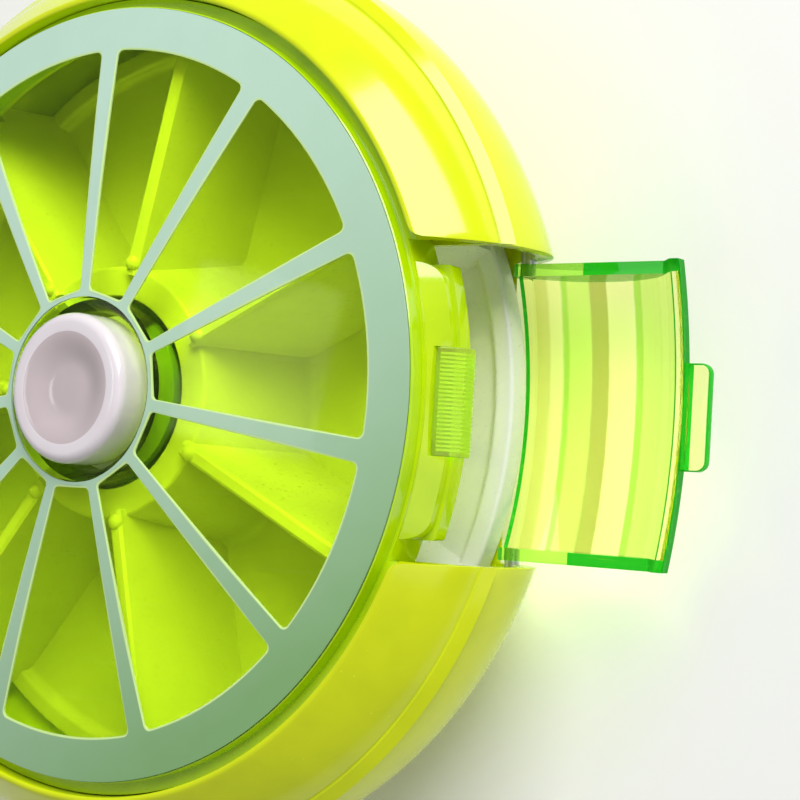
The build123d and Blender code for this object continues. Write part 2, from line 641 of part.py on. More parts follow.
def pawl_ring():
    """Ring on the rotor with three springy arms, drawn flexed clear of the teeth."""
    tip_r = BORE_R - RATCHET_RIM - TOOTH_DEPTH - LOOSE_GAP
    ring_r = ROTOR_R + PAWL_RING_W
    body = Circle(ring_r)
    end_r = tip_r - PAWL_ARM_W / 2
    bend_r = tip_r - PAWL_BEND
    end = Vector(end_r * cos(radians(PAWL_TURN)), -end_r * sin(radians(PAWL_TURN)))
    bend = Vector(bend_r * cos(radians(PAWL_BEND_TURN)), -bend_r * sin(radians(PAWL_BEND_TURN)))
    line = ThreePointArc(Vector(ring_r - PAWL_ARM_W / 2, 0), bend, end)
    arm = trace(line, PAWL_ARM_W)
    body += [Rot(0, 0, i * 360 / PAWLS) * arm for i in range(PAWLS)]
    body -= Circle(ROTOR_R + RUNNING_FIT)
    return extrude(Pos(0, 0, ROTOR_FLANGE_TOP_Z) * (body & Circle(tip_r)), PAWL_H)


def button_cap():
    """Press button with a dished top and a hollow skirt."""
    cap = disc(BUTTON_R, SKIRT_Z, BUTTON_TOP_Z)
    cap = fillet(cap.edges().group_by(Axis.Z)[-1], BUTTON_ROUND)
    bowl_w = BUTTON_R - BUTTON_ROUND - BUTTON_WALL / 2
    bowl_r = (bowl_w ** 2 + BUTTON_DISH ** 2) / (2 * BUTTON_DISH)
    cap -= Pos(0, 0, BUTTON_TOP_Z + bowl_r - BUTTON_DISH) * Sphere(bowl_r)
    rim = cap.edges().filter_by(GeomType.CIRCLE).filter_by(lambda e: abs(e.radius - bowl_w) < 0.05)
    cap = fillet(rim, BUTTON_WALL / 4)
    return cap - disc(BUTTON_R - BUTTON_WALL, SKIRT_Z - 1, BUTTON_UNDER_Z)


def plunger():
    """Tube below the button: keyed to the spindle, with three lugs in the rotor's slots."""
    tube = disc(PLUNGER_R, PLUNGER_Z, BUTTON_UNDER_Z)
    tube -= disc(PLUNGER_IN_R, 0, BUTTON_UNDER_Z - BUTTON_WALL)
    key_w = SPINDLE_GROOVE_W - 2 * SLIDING_GAP
    key = block(SPINDLE_R - SPINDLE_GROOVE + SLIDING_GAP, PLUNGER_IN_R + SLIDING_GAP, -key_w / 2, key_w / 2,
                PLUNGER_Z, BUTTON_UNDER_Z - 2 * BUTTON_TRAVEL)
    lug_end = ROTOR_R - LOOSE_GAP
    lug = Pos(PLUNGER_IN_R + SLIDING_GAP, 0, LUG_Z) * Rot(0, 90, 0) * Cylinder(
        LUG_R, lug_end - PLUNGER_IN_R - SLIDING_GAP, align=(Align.CENTER, Align.CENTER, Align.MIN))
    tube += key
    tube += Rot(0, 0, 180) * key
    tube += [Rot(0, 0, 90 + i * 360 / LUGS) * lug for i in range(LUGS)]
    return tube


def rotor_slot():
    """Slanted slot through the rotor's wall, which a falling lug turns by one compartment."""
    middle_r = (ROTOR_IN_R + ROTOR_R) / 2
    depth = 2 * (ROTOR_R - ROTOR_IN_R)
    width = 2 * (LUG_R + SLIDING_GAP)
    path = Helix(pitch=BUTTON_TRAVEL * COMPARTMENTS, height=BUTTON_TRAVEL, radius=middle_r)
    section = Plane(origin=path @ 0, x_dir=(1, 0, 0), z_dir=path % 0) * Rectangle(depth, width)
    slot = sweep(section, path=path, is_frenet=True)
    end = Pos(middle_r, 0, 0) * Rot(0, 90, 0) * Cylinder(LUG_R + SLIDING_GAP, depth)
    slot += end
    slot += Pos(0, 0, BUTTON_TRAVEL) * Rot(0, 0, STEP_TURN) * end
    return Rot(0, 0, -STEP_TURN) * Pos(0, 0, LUG_Z - BUTTON_TRAVEL) * slot


def drive_rotor():
    """Sleeve with slanted slots: pressing the button turns it by one compartment."""
    sleeve = ring(ROTOR_IN_R, ROTOR_R, ROTOR_Z, ROTOR_TOP_Z)
    sleeve += ring(ROTOR_IN_R, ROTOR_FLANGE_R, ROTOR_Z, ROTOR_FLANGE_TOP_Z)
    slot = rotor_slot()
    for i in range(LUGS):
        sleeve -= Rot(0, 0, 90 + i * 360 / LUGS) * slot
    return sleeve


def helix_point(turn, low, rise):
    """Point and unit direction of the spring's centre line, with turn in whole turns."""
    angle = radians(360 * turn)
    point = Vector(SPRING_R * cos(angle), SPRING_R * sin(angle), low + rise * turn)
    around = radians(360) * SPRING_R
    heading = Vector(-around * sin(angle), around * cos(angle), rise).normalized()
    return point, heading


def biarc(start, heading, end, arrival):
    """Two arcs that leave start along heading and reach end along arrival."""
    span = end - start
    both = heading + arrival
    spread = 2 * (1 - heading.dot(arrival))
    along = span.dot(both)
    reach = (sqrt(along ** 2 + spread * span.dot(span)) - along) / spread
    first_knee = start + heading * reach
    second_knee = end - arrival * reach
    joint = (first_knee + second_knee) * 0.5
    return [Edge.make_tangent_arc(start, heading, joint),
            Edge.make_tangent_arc(joint, (second_knee - first_knee).normalized(), end)]


def return_spring():
    """Compression spring between the seat and the button, wound as one tube."""
    low = SEAT_TOP_Z + SPRING_WIRE / 2
    high = BUTTON_UNDER_Z - SPRING_WIRE / 2
    rise = (high - low) / SPRING_TURNS
    steps = ceil(SPRING_TURNS * 2)
    stops = [helix_point(SPRING_TURNS * i / steps, low, rise) for i in range(steps + 1)]
    edges = []
    for (start, heading), (end, arrival) in zip(stops, stops[1:]):
        edges += biarc(start, heading, end, arrival)
    section = Plane(origin=stops[0][0], z_dir=stops[0][1]) * Circle(SPRING_WIRE / 2)
    print("spring: least gap between turns", round(rise - SPRING_WIRE, 2), "mm")
    return sweep(section, path=Wire(edges))


def door_closed():
    """The flap as it stands when shut: curved wall, end cheeks, knuckles, finger tab and nib."""
    outer = casing_form(0, DOOR_BOTTOM_Z, LIP_Z)
    wall = outer - casing_form(DOOR_WALL, DOOR_BOTTOM_Z - 1, LIP_Z + 1) - disc(LIP_R - DOOR_RIM, 0, 2 * LIP_Z)
    wall &= block(0, 2 * SHELL_R, -DOOR_HALF, DOOR_HALF, 0, 2 * LIP_Z)
    wall -= disc(tray_r() + DOOR_FOOT_GAP, 0, HINGE_Z)
    back = HINGE_X - CHEEK_SET_BACK
    cheek = prism([(back, DOOR_BOTTOM_Z), (2 * SHELL_R, DOOR_BOTTOM_Z), (2 * SHELL_R, LIP_Z),
                   (back - CHEEK_LEAN, LIP_Z)], DOOR_HALF - CHEEK_W, DOOR_HALF)
    cheek &= casing_form(DOOR_WALL / 4, DOOR_BOTTOM_Z, LIP_Z)
    cheek += cross_pin(PIN_R + KNUCKLE_WALL, DOOR_HALF - CHEEK_W, DOOR_HALF)
    tab_r = LIP_R - DOOR_RIM
    tab = ring(tab_r, tab_r + TAB_WALL, LIP_Z - TAB_WALL, LIP_Z + TAB_REACH)
    tab &= block(0, 2 * SHELL_R, -TAB_HALF, TAB_HALF, LIP_Z - TAB_WALL, LIP_Z + TAB_REACH)
    tab = fillet(tab.edges().filter_by(Axis.X).group_by(Axis.Z)[-1], TAB_CORNER)
    nib_z = LIP_Z - NIB_DROP - NIB_H
    nib_x = BEAD_RING_R + CATCH_PROUD + LOOSE_GAP
    nib = block(nib_x, 2 * SHELL_R, -TAB_HALF + NIB_H, TAB_HALF - NIB_H, nib_z, nib_z + NIB_H)
    nib &= casing_form(DOOR_WALL / 2, DOOR_BOTTOM_Z, LIP_Z)
    door = wall + both_sides(cheek) + tab + nib
    return door - both_sides(cross_pin(PIN_R, DOOR_HALF - CHEEK_W, DOOR_HALF))


def opened(shape):
    """The shape swung down to the open door's place."""
    return shape.rotate(Axis((HINGE_X, 0, HINGE_Z), (0, 1, 0)), DOOR_OPEN_ANGLE)


def flap_door():
    """The flap in its open place."""
    return opened(door_closed())


def hinge_pins():
    """Two stub pins, one through each cheek."""
    y_low = DOOR_HALF - CHEEK_W
    return both_sides(cross_pin(PIN_R, y_low, y_low + PIN_LENGTH))


PIECES = [base_dish, outer_shell, collar_ring, door_catch, clear_cover, slice_print, spring_seat,
          spindle, spindle_screw, thrust_washer, glide_ring, detent_arm, detent_rivet,
          compartment_tray, ratchet_crown, button_cap, plunger, return_spring,
          drive_rotor, pawl_ring, flap_door, hinge_pins]

os.makedirs("parts", exist_ok=True)
for make in PIECES:
    export_step(make(), f"parts/{make.__name__}.step")
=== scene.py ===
"""Looks of the rotating pill organizer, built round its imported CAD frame."""

import logging
from collections.abc import Callable, Iterator
from contextlib import contextmanager
from dataclasses import dataclass
from enum import Enum
from math import asin, atan2, cos, hypot, pi, radians, sin, sqrt, tan

import bmesh
import bpy
from mathutils import Matrix, Vector


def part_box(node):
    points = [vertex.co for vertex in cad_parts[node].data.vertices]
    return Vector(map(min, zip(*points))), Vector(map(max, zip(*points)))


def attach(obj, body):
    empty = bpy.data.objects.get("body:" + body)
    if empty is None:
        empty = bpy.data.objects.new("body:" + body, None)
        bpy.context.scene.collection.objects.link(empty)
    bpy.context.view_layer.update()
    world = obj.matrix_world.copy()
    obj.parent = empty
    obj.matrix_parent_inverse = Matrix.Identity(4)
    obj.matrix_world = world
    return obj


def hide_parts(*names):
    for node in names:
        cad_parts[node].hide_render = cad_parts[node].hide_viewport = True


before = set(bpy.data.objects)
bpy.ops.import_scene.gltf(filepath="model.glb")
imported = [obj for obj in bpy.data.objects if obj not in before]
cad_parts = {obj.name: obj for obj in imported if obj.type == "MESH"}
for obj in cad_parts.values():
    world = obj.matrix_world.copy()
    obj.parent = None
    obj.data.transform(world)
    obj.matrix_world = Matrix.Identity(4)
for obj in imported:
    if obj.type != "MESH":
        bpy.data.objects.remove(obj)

Point = tuple[float, float]
Outline = list[Point]
Colour = tuple[float, float, float]
Place = tuple[float, float, float]
Corner = tuple[float, float, float]
Face = tuple[int, ...]
Inputs = dict[str | int, object]

LOG = logging.getLogger("pill_organizer")
MM = 0.001
MERGE_M, FLAT_M, COPY_MERGE_M, TINY = 1e-7, 1e-8, 1e-6, 1e-6
SHARP, ROUND_SEGMENTS, TURN_STEPS = 32.0, 3, 240
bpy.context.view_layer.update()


class Wear(Enum):
    """How strongly the skin of a moulded piece shows close up."""

    POLISHED = 0.10
    SATIN = 0.45


class Axis(Enum):
    """Direction in which a straight solid is drawn out, by its place among x, y and z."""

    X = 0
    Y = 1
    Z = 2


class CoverPart(Enum):
    """Parts of the cover with a finish each, in slot order."""

    PLATE = 0
    NECK = 1
    RIM = 2


class CapPart(Enum):
    """Parts of the button with a finish each, in slot order."""

    BODY = 0
    DISH = 1


class FlapPart(Enum):
    """Parts of the flap with a finish each, in slot order."""

    BANDS = 0
    GREEN_EDGE = 1
    PALE = 2
    LIME_CHEEK = 3


def node_box(name: str) -> tuple[Vector, Vector]:
    """Lowest and highest corners of a CAD node's box, in millimetres."""
    low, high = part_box(name)
    return low / MM, high / MM


@dataclass
class Wiring:
    """A node tree with short ways to add to it.

    Attributes:
        tree: the node tree.
    """

    tree: bpy.types.NodeTree

    def fill(self, node: bpy.types.Node, inputs: Inputs) -> None:
        """Set or link inputs of a node.

        Args:
            node: the node.
            inputs: a value, or a socket to link, by the input's name or number.
        """
        for key, value in inputs.items():
            if isinstance(value, bpy.types.NodeSocket):
                self.tree.links.new(value, node.inputs[key])
            else:
                node.inputs[key].default_value = value

    def put(self, kind: str, inputs: Inputs | None = None, **settings: object) -> bpy.types.Node:
        """Add a node.

        Args:
            kind: the node's type name.
            inputs: a value, or a socket to link, by the input's name or number.
            settings: the node's own properties.

        Returns:
            The new node.
        """
        node = self.tree.nodes.new(kind)
        for name, value in settings.items():
            setattr(node, name, value)
        self.fill(node, inputs or {})
        return node

    def maths(self, operation: str, *terms: object, **settings: object) -> bpy.types.NodeSocket:
        """Result of a Math node on values and sockets."""
        node = self.put("ShaderNodeMath", dict(enumerate(terms)), operation=operation, **settings)
        return node.outputs[0]

    def noise(self, vector: bpy.types.NodeSocket, scale: object, detail: float,
              roughness: float = 0.5) -> bpy.types.NodeSocket:
        """Noise texture at a vector.

        Args:
            vector: socket of the place where it is read.
            scale: its scale, a number or a socket.
            detail: how many finer layers it has.
            roughness: weight of the finer layers.

        Returns:
            The socket of its value.
        """
        return self.put("ShaderNodeTexNoise", {"Vector": vector, "Scale": scale, "Detail": detail,
                                               "Roughness": roughness}).outputs["Fac"]

    def share(self, value: bpy.types.NodeSocket, low: float, high: float) -> bpy.types.NodeSocket:
        """Share of the way from a low value to a high one, from 0 to 1."""
        inputs = {"Value": value, "From Min": low, "From Max": high}
        return self.put("ShaderNodeMapRange", inputs).outputs[0]

    def blend(self, share: bpy.types.NodeSocket, first: object,
              second: object) -> bpy.types.NodeSocket:
        """Mix two colours.

        Args:
            share: socket of the second colour's share.
            first: the first colour, or its socket.
            second: the second colour, or its socket.

        Returns:
            The socket of the mixed colour.
        """
        ends = [colour if isinstance(colour, bpy.types.NodeSocket) else (*colour, 1.0)
                for colour in (first, second)]
        inputs = {"Factor": share, 6: ends[0], 7: ends[1]}
        return self.put("ShaderNodeMix", inputs, data_type="RGBA").outputs[2]


@dataclass
class MaterialWiring(Wiring):
    """The tree of a new material.

    Attributes:
        material: the material.
        shader: its Principled shader.
        places: outputs of its Texture Coordinate node.
    """

    material: bpy.types.Material
    shader: bpy.types.Node
    places: bpy.types.NodeOutputs

    def group(self, group: bpy.types.NodeTree, inputs: Inputs | None = None) -> bpy.types.Node:
        """Node of a shader group that is read at the piece's Object coordinates."""
        inputs = {"Vector": self.places["Object"], **(inputs or {})}
        return self.put("ShaderNodeGroup", inputs, node_tree=group)

    def skin(self, inputs: Inputs, bump: float = 0.0, depth: float = 0.0004) -> bpy.types.Node:
        """Give the shader a moulded skin: its roughness, and a bump if wanted.

        Args:
            inputs: the skin group's own values.
            bump: strength of the bump, or 0 for none.
            depth: depth of the bump in metres.

        Returns:
            The group's node.
        """
        skin = self.group(SKIN, inputs)
        self.fill(self.shader, {"Roughness": skin.outputs["Roughness"]})
        if bump:
            relief = self.put("ShaderNodeBump", {"Strength": bump, "Distance": depth,
                                                 "Height": skin.outputs["Height"]})
            self.fill(self.shader, {"Normal": relief.outputs["Normal"]})
        return skin


def new_material(name: str) -> MaterialWiring:
    """Start a material.

    Args:
        name: its name.

    Returns:
        Its tree, ready to add to.
    """
    material = bpy.data.materials.new(name)
    material.use_nodes = True
    tree = material.node_tree
    shader = next(n for n in tree.nodes if n.type == "BSDF_PRINCIPLED")
    return MaterialWiring(tree, material, shader, tree.nodes.new("ShaderNodeTexCoord").outputs)


def group_tree(name: str, kind: str, inputs: dict[str, tuple[str, object]],
               outputs: dict[str, str]) -> tuple[Wiring, bpy.types.NodeOutputs, bpy.types.Node]:
    """Make a node group with named sockets.

    Args:
        name: the group's name.
        kind: ShaderNodeTree or GeometryNodeTree.
        inputs: socket type and default value by name.
        outputs: socket type by name.

    Returns:
        The tree, the sockets that bring its inputs, and its output node.
    """
    tree = bpy.data.node_groups.new(name, kind)
    for label, (socket_type, value) in inputs.items():
        socket = tree.interface.new_socket(label, in_out="INPUT", socket_type=socket_type)
        if value is not None:
            socket.default_value = value
    for label, socket_type in outputs.items():
        tree.interface.new_socket(label, in_out="OUTPUT", socket_type=socket_type)
    given, out = (tree.nodes.new(node) for node in ("NodeGroupInput", "NodeGroupOutput"))
    return Wiring(tree), given.outputs, out


def moulded_skin_group(grain_share: float = 0.12, noise_mean: float = 0.5) -> bpy.types.NodeTree:
    """Shader group of a moulded skin: fine waviness, flow tint and a roughness that varies.

    Args:
        grain_share: height of the grain, as a share of the waves.
        noise_mean: mean value of a noise texture.

    Returns:
        The group, with outputs Tint, Roughness and Height.
    """
    wiring, given, out = group_tree(
        "moulded_skin", "ShaderNodeTree",
        {"Vector": ("NodeSocketVector", None), "Wave Scale": ("NodeSocketFloat", 220.0),
         "Grain Scale": ("NodeSocketFloat", 2600.0), "Roughness": ("NodeSocketFloat", 0.2),
         "Spread": ("NodeSocketFloat", 0.06)},
        {"Tint": "NodeSocketFloat", "Roughness": "NodeSocketFloat", "Height": "NodeSocketFloat"})
    wave = wiring.noise(given["Vector"], given["Wave Scale"], 2.0)
    grain = wiring.noise(given["Vector"], given["Grain Scale"], 3.0)
    centred = wiring.maths("SUBTRACT", grain, noise_mean)
    wiring.fill(out, {
        "Tint": wave,
        "Roughness": wiring.maths("MULTIPLY_ADD", centred, given["Spread"], given["Roughness"]),
        "Height": wiring.maths("MULTIPLY_ADD", grain, grain_share, wave)})
    return wiring.tree


def dust_group(stretch: float = 14.0, slant: float = 24.0, speck_r: Point = (0.10, 0.04),
               few: Point = (0.58, 0.66), thin: Point = (0.60, 0.72)) -> bpy.types.NodeTree:
    """Shader group of sparse specks and hairline scratches.

    Args:
        stretch: how many times longer than wide a scratch is.
        slant: direction of the scratches in degrees.
        speck_r: distance from a cell's centre where a speck ends, and where it is full.
        few: noise values between which specks begin to show.
        thin: noise values between which scratches begin to show.

    Returns:
        The group, with outputs Specks and Scratches, both masks.
    """
    wiring, given, out = group_tree(
        "dust_and_scratches", "ShaderNodeTree",
        {"Vector": ("NodeSocketVector", None), "Speck Scale": ("NodeSocketFloat", 900.0),
         "Scratch Scale": ("NodeSocketFloat", 90.0)},
        {"Specks": "NodeSocketFloat", "Scratches": "NodeSocketFloat"})
    cells = wiring.put("ShaderNodeTexVoronoi",
                       {"Vector": given["Vector"], "Scale": given["Speck Scale"]}, feature="F1")
    near = wiring.share(cells.outputs["Distance"], *speck_r)
    rare = wiring.share(wiring.noise(given["Vector"], 120.0, 1.0), *few)
    drawn = wiring.put("ShaderNodeMapping", {
        "Vector": given["Vector"], "Scale": (1.0, stretch, 1.0),
        "Rotation": (0.0, 0.0, radians(slant))})
    lines = wiring.noise(drawn.outputs[0], given["Scratch Scale"], 4.0, 0.6)
    wiring.fill(out, {"Specks": wiring.maths("MULTIPLY", near, rare, use_clamp=True),
                      "Scratches": wiring.share(lines, *thin)})
    return wiring.tree


SKIN = moulded_skin_group()
DUST = dust_group()


@dataclass(frozen=True)
class Plastic:
    """A solid moulded plastic.

    Attributes:
        name: the material's name.
        colour: main colour, linear.
        deep: colour of the thicker, duller patches, linear.
        roughness: mean roughness.
        wear: how strongly the skin shows close up.
        coat: weight of the clear gloss on top.
        coat_roughness: roughness of that gloss.
        flow: values of the skin's waves between which the colour turns deep.
        relief: strength of the bump, as a share of the wear.
        spread: variation of the roughness, as a share of the wear.
        speck: gain and lift of the colour in the specks.
    """

    name: str
    colour: Colour
    deep: Colour
    roughness: float
    wear: Wear
    coat: float = 0.3
    coat_roughness: float = 0.06
    flow: Point = (0.42, 0.75)
    relief: float = 0.12
    spread: float = 0.4
    speck: Point = (1.15, 0.02)

    def build(self) -> bpy.types.Material:
        """Make the material.

        Returns:
            The material.
        """
        wiring = new_material(self.name)
        skin = wiring.skin({"Roughness": self.roughness, "Spread": self.wear.value * self.spread},
                           self.wear.value * self.relief)
        tint = wiring.blend(wiring.share(skin.outputs["Tint"], *self.flow), self.colour, self.deep)
        gain, lift = self.speck
        pale = tuple(min(1.0, c * gain + lift) for c in self.colour)
        specks = wiring.group(DUST).outputs["Specks"]
        wiring.fill(wiring.shader, {"Base Color": wiring.blend(specks, tint, pale),
                                    "Coat Weight": self.coat,
                                    "Coat Roughness": self.coat_roughness})
        return wiring.material


@dataclass(frozen=True)
class ClearPlastic:
    """A see-through moulded plastic that lets lamp light pass.

    Attributes:
        name: the material's name.
        tint: colour seen through one wall, linear.
        deep: colour of the hairline scratches, linear.
        shade: colour of the light that it lets onto what is behind it, linear.
        roughness: roughness of the moulded face.
        ior: index of refraction.
        coat: weight of the clear gloss on top.
        clear: share that is see-through; the rest is solid colour.
        scratch: how far a scratch turns to the deep colour.
        relief: strength of the bump.
    """

    name: str
    tint: Colour
    deep: Colour
    shade: Colour
    roughness: float = 0.03
    ior: float = 1.2
    coat: float = 0.0
    clear: float = 1.0
    scratch: float = 0.25
    relief: float = 0.05

    def build(self) -> bpy.types.Material:
        """Make the material.

        Returns:
            The material.
        """
        wiring = new_material(self.name)
        wiring.skin({"Wave Scale": 160.0, "Roughness": self.roughness, "Spread": 0.02}, self.relief)
        wiring.fill(wiring.shader, {"Base Color": self.colouring(wiring),
                                    "Transmission Weight": self.clear, "IOR": self.ior,
                                    "Coat Weight": self.coat})
        through = wiring.put("ShaderNodeBsdfTransparent", {"Color": (*self.shade, 1.0)})
        path = wiring.put("ShaderNodeLightPath")
        both = wiring.put("ShaderNodeMixShader", {
            0: path.outputs["Is Shadow Ray"], 1: wiring.shader.outputs[0], 2: through.outputs[0]})
        output = next(n for n in wiring.tree.nodes if n.type == "OUTPUT_MATERIAL")
        wiring.fill(output, {"Surface": both.outputs[0]})
        return wiring.material

    def colouring(self, wiring: MaterialWiring) -> bpy.types.NodeSocket:
        """Socket of the colour over the surface: the tint with faint hairline scratches."""
        scratches = wiring.group(DUST).outputs["Scratches"]
        return wiring.blend(wiring.maths("MULTIPLY", scratches, self.scratch), self.tint, self.deep)


@dataclass(frozen=True)
class BandedPlastic(ClearPlastic):
    """The flap's inner face: clear plastic tinted in bands along its curve, partly the wall's
    changing thickness and partly painted reflection and refraction of the surroundings; the brown
    band is painted shade.

    Attributes:
        bands: share of the way from foot to rim, and colour from there on, linear.
        soft: share over which one band fades into the next.
        ripple: how far the fine ripples move a band.
    """

    bands: tuple[tuple[float, Colour], ...] = ()
    soft: float = 0.009
    ripple: float = 0.006

    def colouring(self, wiring: MaterialWiring) -> bpy.types.NodeSocket:
        """Colour over the surface: a ramp along the wall's own first coordinate.

        Args:
            wiring: the material's tree.

        Returns:
            The socket of the colour.
        """
        ripples = wiring.noise(wiring.places["Object"], 700.0, 2.0)
        along = wiring.put("ShaderNodeSeparateXYZ", {0: wiring.places["UV"]}).outputs["X"]
        moved = wiring.maths("MULTIPLY_ADD", ripples, self.ripple, along)
        ramp = wiring.put("ShaderNodeValToRGB", {0: moved})
        elements = ramp.color_ramp.elements
        elements[0].position, elements[0].color = 0.0, (*self.bands[0][1], 1.0)
        elements.remove(elements[1])
        for (start, colour), (_, before) in zip(self.bands[1:], self.bands):
            for position, shown in ((start - self.soft, before), (start, colour)):
                elements.new(position).color = (*shown, 1.0)
        return ramp.outputs["Color"]


@dataclass(frozen=True)
class PrintFilm:
    """The printed film of the citrus slice.

    Attributes:
        name: the material's name.
        near: colour on the side away from the door, where the film is lit most, linear.
        far: colour on the side of the door, darker green partly as the print's own tone and partly
            as painted shade where less light falls, linear.
        edge: colour of the thin pale line along its edges, a painted highlight, linear.
        across: direction in which the one colour turns into the other.
        span: where along it the turn starts and ends, in metres.
        late: power that holds the turn back.
        mottle: share of the mottling in the turn.
    """

    name: str
    near: Colour
    far: Colour
    edge: Colour
    across: Place = (0.55, -0.83, 0.0)
    span: Point = (-0.03, 0.036)
    late: float = 2.0
    mottle: float = 0.12

    def build(self) -> bpy.types.Material:
        """Make the material.

        Returns:
            The material.
        """
        wiring = new_material(self.name)
        spot = wiring.places["Object"]
        along = wiring.put("ShaderNodeVectorMath", {0: spot, 1: self.across},
                           operation="DOT_PRODUCT").outputs["Value"]
        # The turn towards the far colour is partly painted shade: the film darkens towards the
        # door's side, where less light falls.
        late = wiring.maths("POWER", wiring.share(along, *self.span), self.late)
        turn = wiring.maths("MULTIPLY_ADD", wiring.noise(spot, 260.0, 3.0), self.mottle, late)
        # The pale line along the film's edges is a painted highlight.
        rim = wiring.put("ShaderNodeAttribute", attribute_name="edge").outputs["Fac"]
        tint = wiring.blend(rim, wiring.blend(turn, self.near, self.far), self.edge)
        wiring.fill(wiring.shader, {"Base Color": tint, "Coat Weight": 0.2})
        wiring.skin({"Roughness": 0.32, "Spread": 0.08}, 0.04, 0.0003)
        return wiring.material


@dataclass(frozen=True)
class Steel:
    """Bright spring steel or plated steel.

    Attributes:
        name: the material's name.
        colour: base colour, linear.
    """

    name: str
    colour: Colour

    def build(self) -> bpy.types.Material:
        """Make the material.

        Returns:
            The material.
        """
        wiring = new_material(self.name)
        wiring.skin({"Roughness": 0.3, "Spread": 0.2, "Grain Scale": 5000.0})
        wiring.fill(wiring.shader, {"Base Color": (*self.colour, 1.0), "Metallic": 1.0})
        return wiring.material


class Finishes:
    """Every material of the organizer, made once."""

    def __init__(self) -> None:
        """Build the materials."""
        shine, satin = Wear.POLISHED, Wear.SATIN
        self.casing = Plastic("casing_lime", (0.69, 0.80, 0.0), (0.63, 0.74, 0.0), 0.16, shine,
                              coat=0.25).build()
        self.collar = Plastic("collar_lime", (0.52, 0.74, 0.0), (0.44, 0.66, 0.0), 0.14, shine,
                              coat=0.5).build()
        self.tray = Plastic("tray_white", (0.86, 0.88, 0.82), (0.82, 0.85, 0.77), 0.3,
                            satin).build()
        self.button = Plastic("button_white", (0.80, 0.74, 0.78), (0.77, 0.70, 0.74), 0.18, shine,
                              coat=0.6).build()
        # The dish finish is the button's white made darker, painted shade in the hollow of the
        # dished top.
        self.dish = Plastic("button_dish", (0.58, 0.49, 0.51), (0.54, 0.46, 0.47), 0.2, shine,
                            coat=0.5).build()
        self.inner = Plastic("inner_white", (0.75, 0.75, 0.72), (0.7, 0.7, 0.66), 0.35,
                             satin).build()
        self.cover = ClearPlastic("cover_clear", (0.76, 0.92, 0.11), (0.82, 0.95, 0.22),
                                  (0.80, 0.88, 0.32)).build()
        self.neck = ClearPlastic("cover_neck", (0.50, 0.80, 0.08), (0.6, 0.85, 0.2),
                                 (0.8, 0.95, 0.3), 0.05).build()
        self.cover_rim = Plastic("cover_rim", (0.46, 0.72, 0.0), (0.40, 0.66, 0.0), 0.12, shine,
                                 coat=0.5).build()
        self.catch = ClearPlastic("catch_clear", (0.66, 0.88, 0.08), (0.5, 0.76, 0.04),
                                  (0.9, 0.99, 0.6), 0.06, coat=0.4, clear=0.6).build()
        clear = (0.98, 1.0, 0.93)
        # The flap's bands are painted reflection, refraction and shade seen in the curved wall,
        # partly also its thickness; the brown band is a painted shadow.
        pale, ochre, brown_shade = (0.96, 0.98, 0.42), (0.66, 0.68, 0.16), (0.34, 0.36, 0.05)
        line, lime = (0.27, 0.66, 0.03), (0.58, 0.90, 0.12)
        self.flap = BandedPlastic(
            "flap_bands", lime, line, clear, 0.02, 1.05, 0.35,
            bands=((0.0, (0.86, 0.94, 0.30)), (0.043, ochre), (0.101, pale), (0.158, line),
                   (0.186, lime), (0.301, brown_shade), (0.400, pale), (0.579, line),
                   (0.631, lime))).build()
        # Edge faces are painted deep green: the tint seen the long way through the plastic,
        # deepened as painted refraction of the dark surroundings.
        self.flap_edge = ClearPlastic("flap_edge", (0.004, 0.46, 0.006), (0.30, 0.80, 0.03),
                                      (0.92, 1.0, 0.85), 0.08, 1.1, 0.3, clear=0.3).build()
        self.tab = ClearPlastic("flap_pale", (0.98, 1.0, 0.48), (0.9, 0.95, 0.3), clear,
                                0.02, 1.05, 0.35).build()
        self.cheek = ClearPlastic("flap_lime", (0.30, 0.86, 0.05), (0.5, 0.9, 0.1), clear,
                                  0.04, 1.1, 0.35, clear=0.8).build()
        # Print film: the far colour is partly painted shade, and the edge colour is a painted
        # highlight.
        self.film = PrintFilm("print_mint", (0.54, 0.76, 0.63), (0.22, 0.42, 0.17),
                              (0.62, 0.84, 0.33)).build()
        self.steel = Steel("bright_steel", (0.62, 0.63, 0.65)).build()


def rounded(points: list[Corner], steps: int, most: float = 0.49) -> Outline:
    """Closed outline whose corners are rounded.

    Args:
        points: first coordinate, second coordinate and corner radius, in millimetres.
        steps: pieces of each rounded corner.
        most: largest share of a side that a corner may take.

    Returns:
        The outline's points.
    """
    out: Outline = []
    for i, (x, y, radius) in enumerate(points):
        here = Vector((x, y))
        before = Vector(points[i - 1][:2]) - here
        after = Vector(points[(i + 1) % len(points)][:2]) - here
        if radius <= 0 or before.length < TINY or after.length < TINY:
            out.append((x, y))
            continue
        half = before.angle(after) / 2
        cut = min(radius / tan(half), before.length * most, after.length * most)
        reach = cut * tan(half)
        inward = (before.normalized() + after.normalized()).normalized()
        centre = here + inward * hypot(cut, reach)
        start = here + before.normalized() * cut - centre
        end = here + after.normalized() * cut - centre
        turn = start.angle_signed(end)
        out += [tuple(centre + Matrix.Rotation(-turn * k / steps, 2) @ start)
                for k in range(steps + 1)]
    return out


def in_scene(name: str, data: bpy.types.ID) -> bpy.types.Object:
    """Put data on a new object in the scene.

    Args:
        name: the object's name.
        data: its mesh, lamp or camera.

    Returns:
        The new object.
    """
    new = bpy.data.objects.new(name, data)
    bpy.context.scene.collection.objects.link(new)
    return new


@contextmanager
def opened(mesh: bpy.types.Mesh) -> Iterator[bmesh.types.BMesh]:
    """Open a mesh for changes, and write them back at the end.

    Args:
        mesh: the mesh that is changed.

    Yields:
        The mesh, open for changes.
    """
    work = bmesh.new()
    work.from_mesh(mesh)
    yield work
    work.to_mesh(mesh)
    work.free()


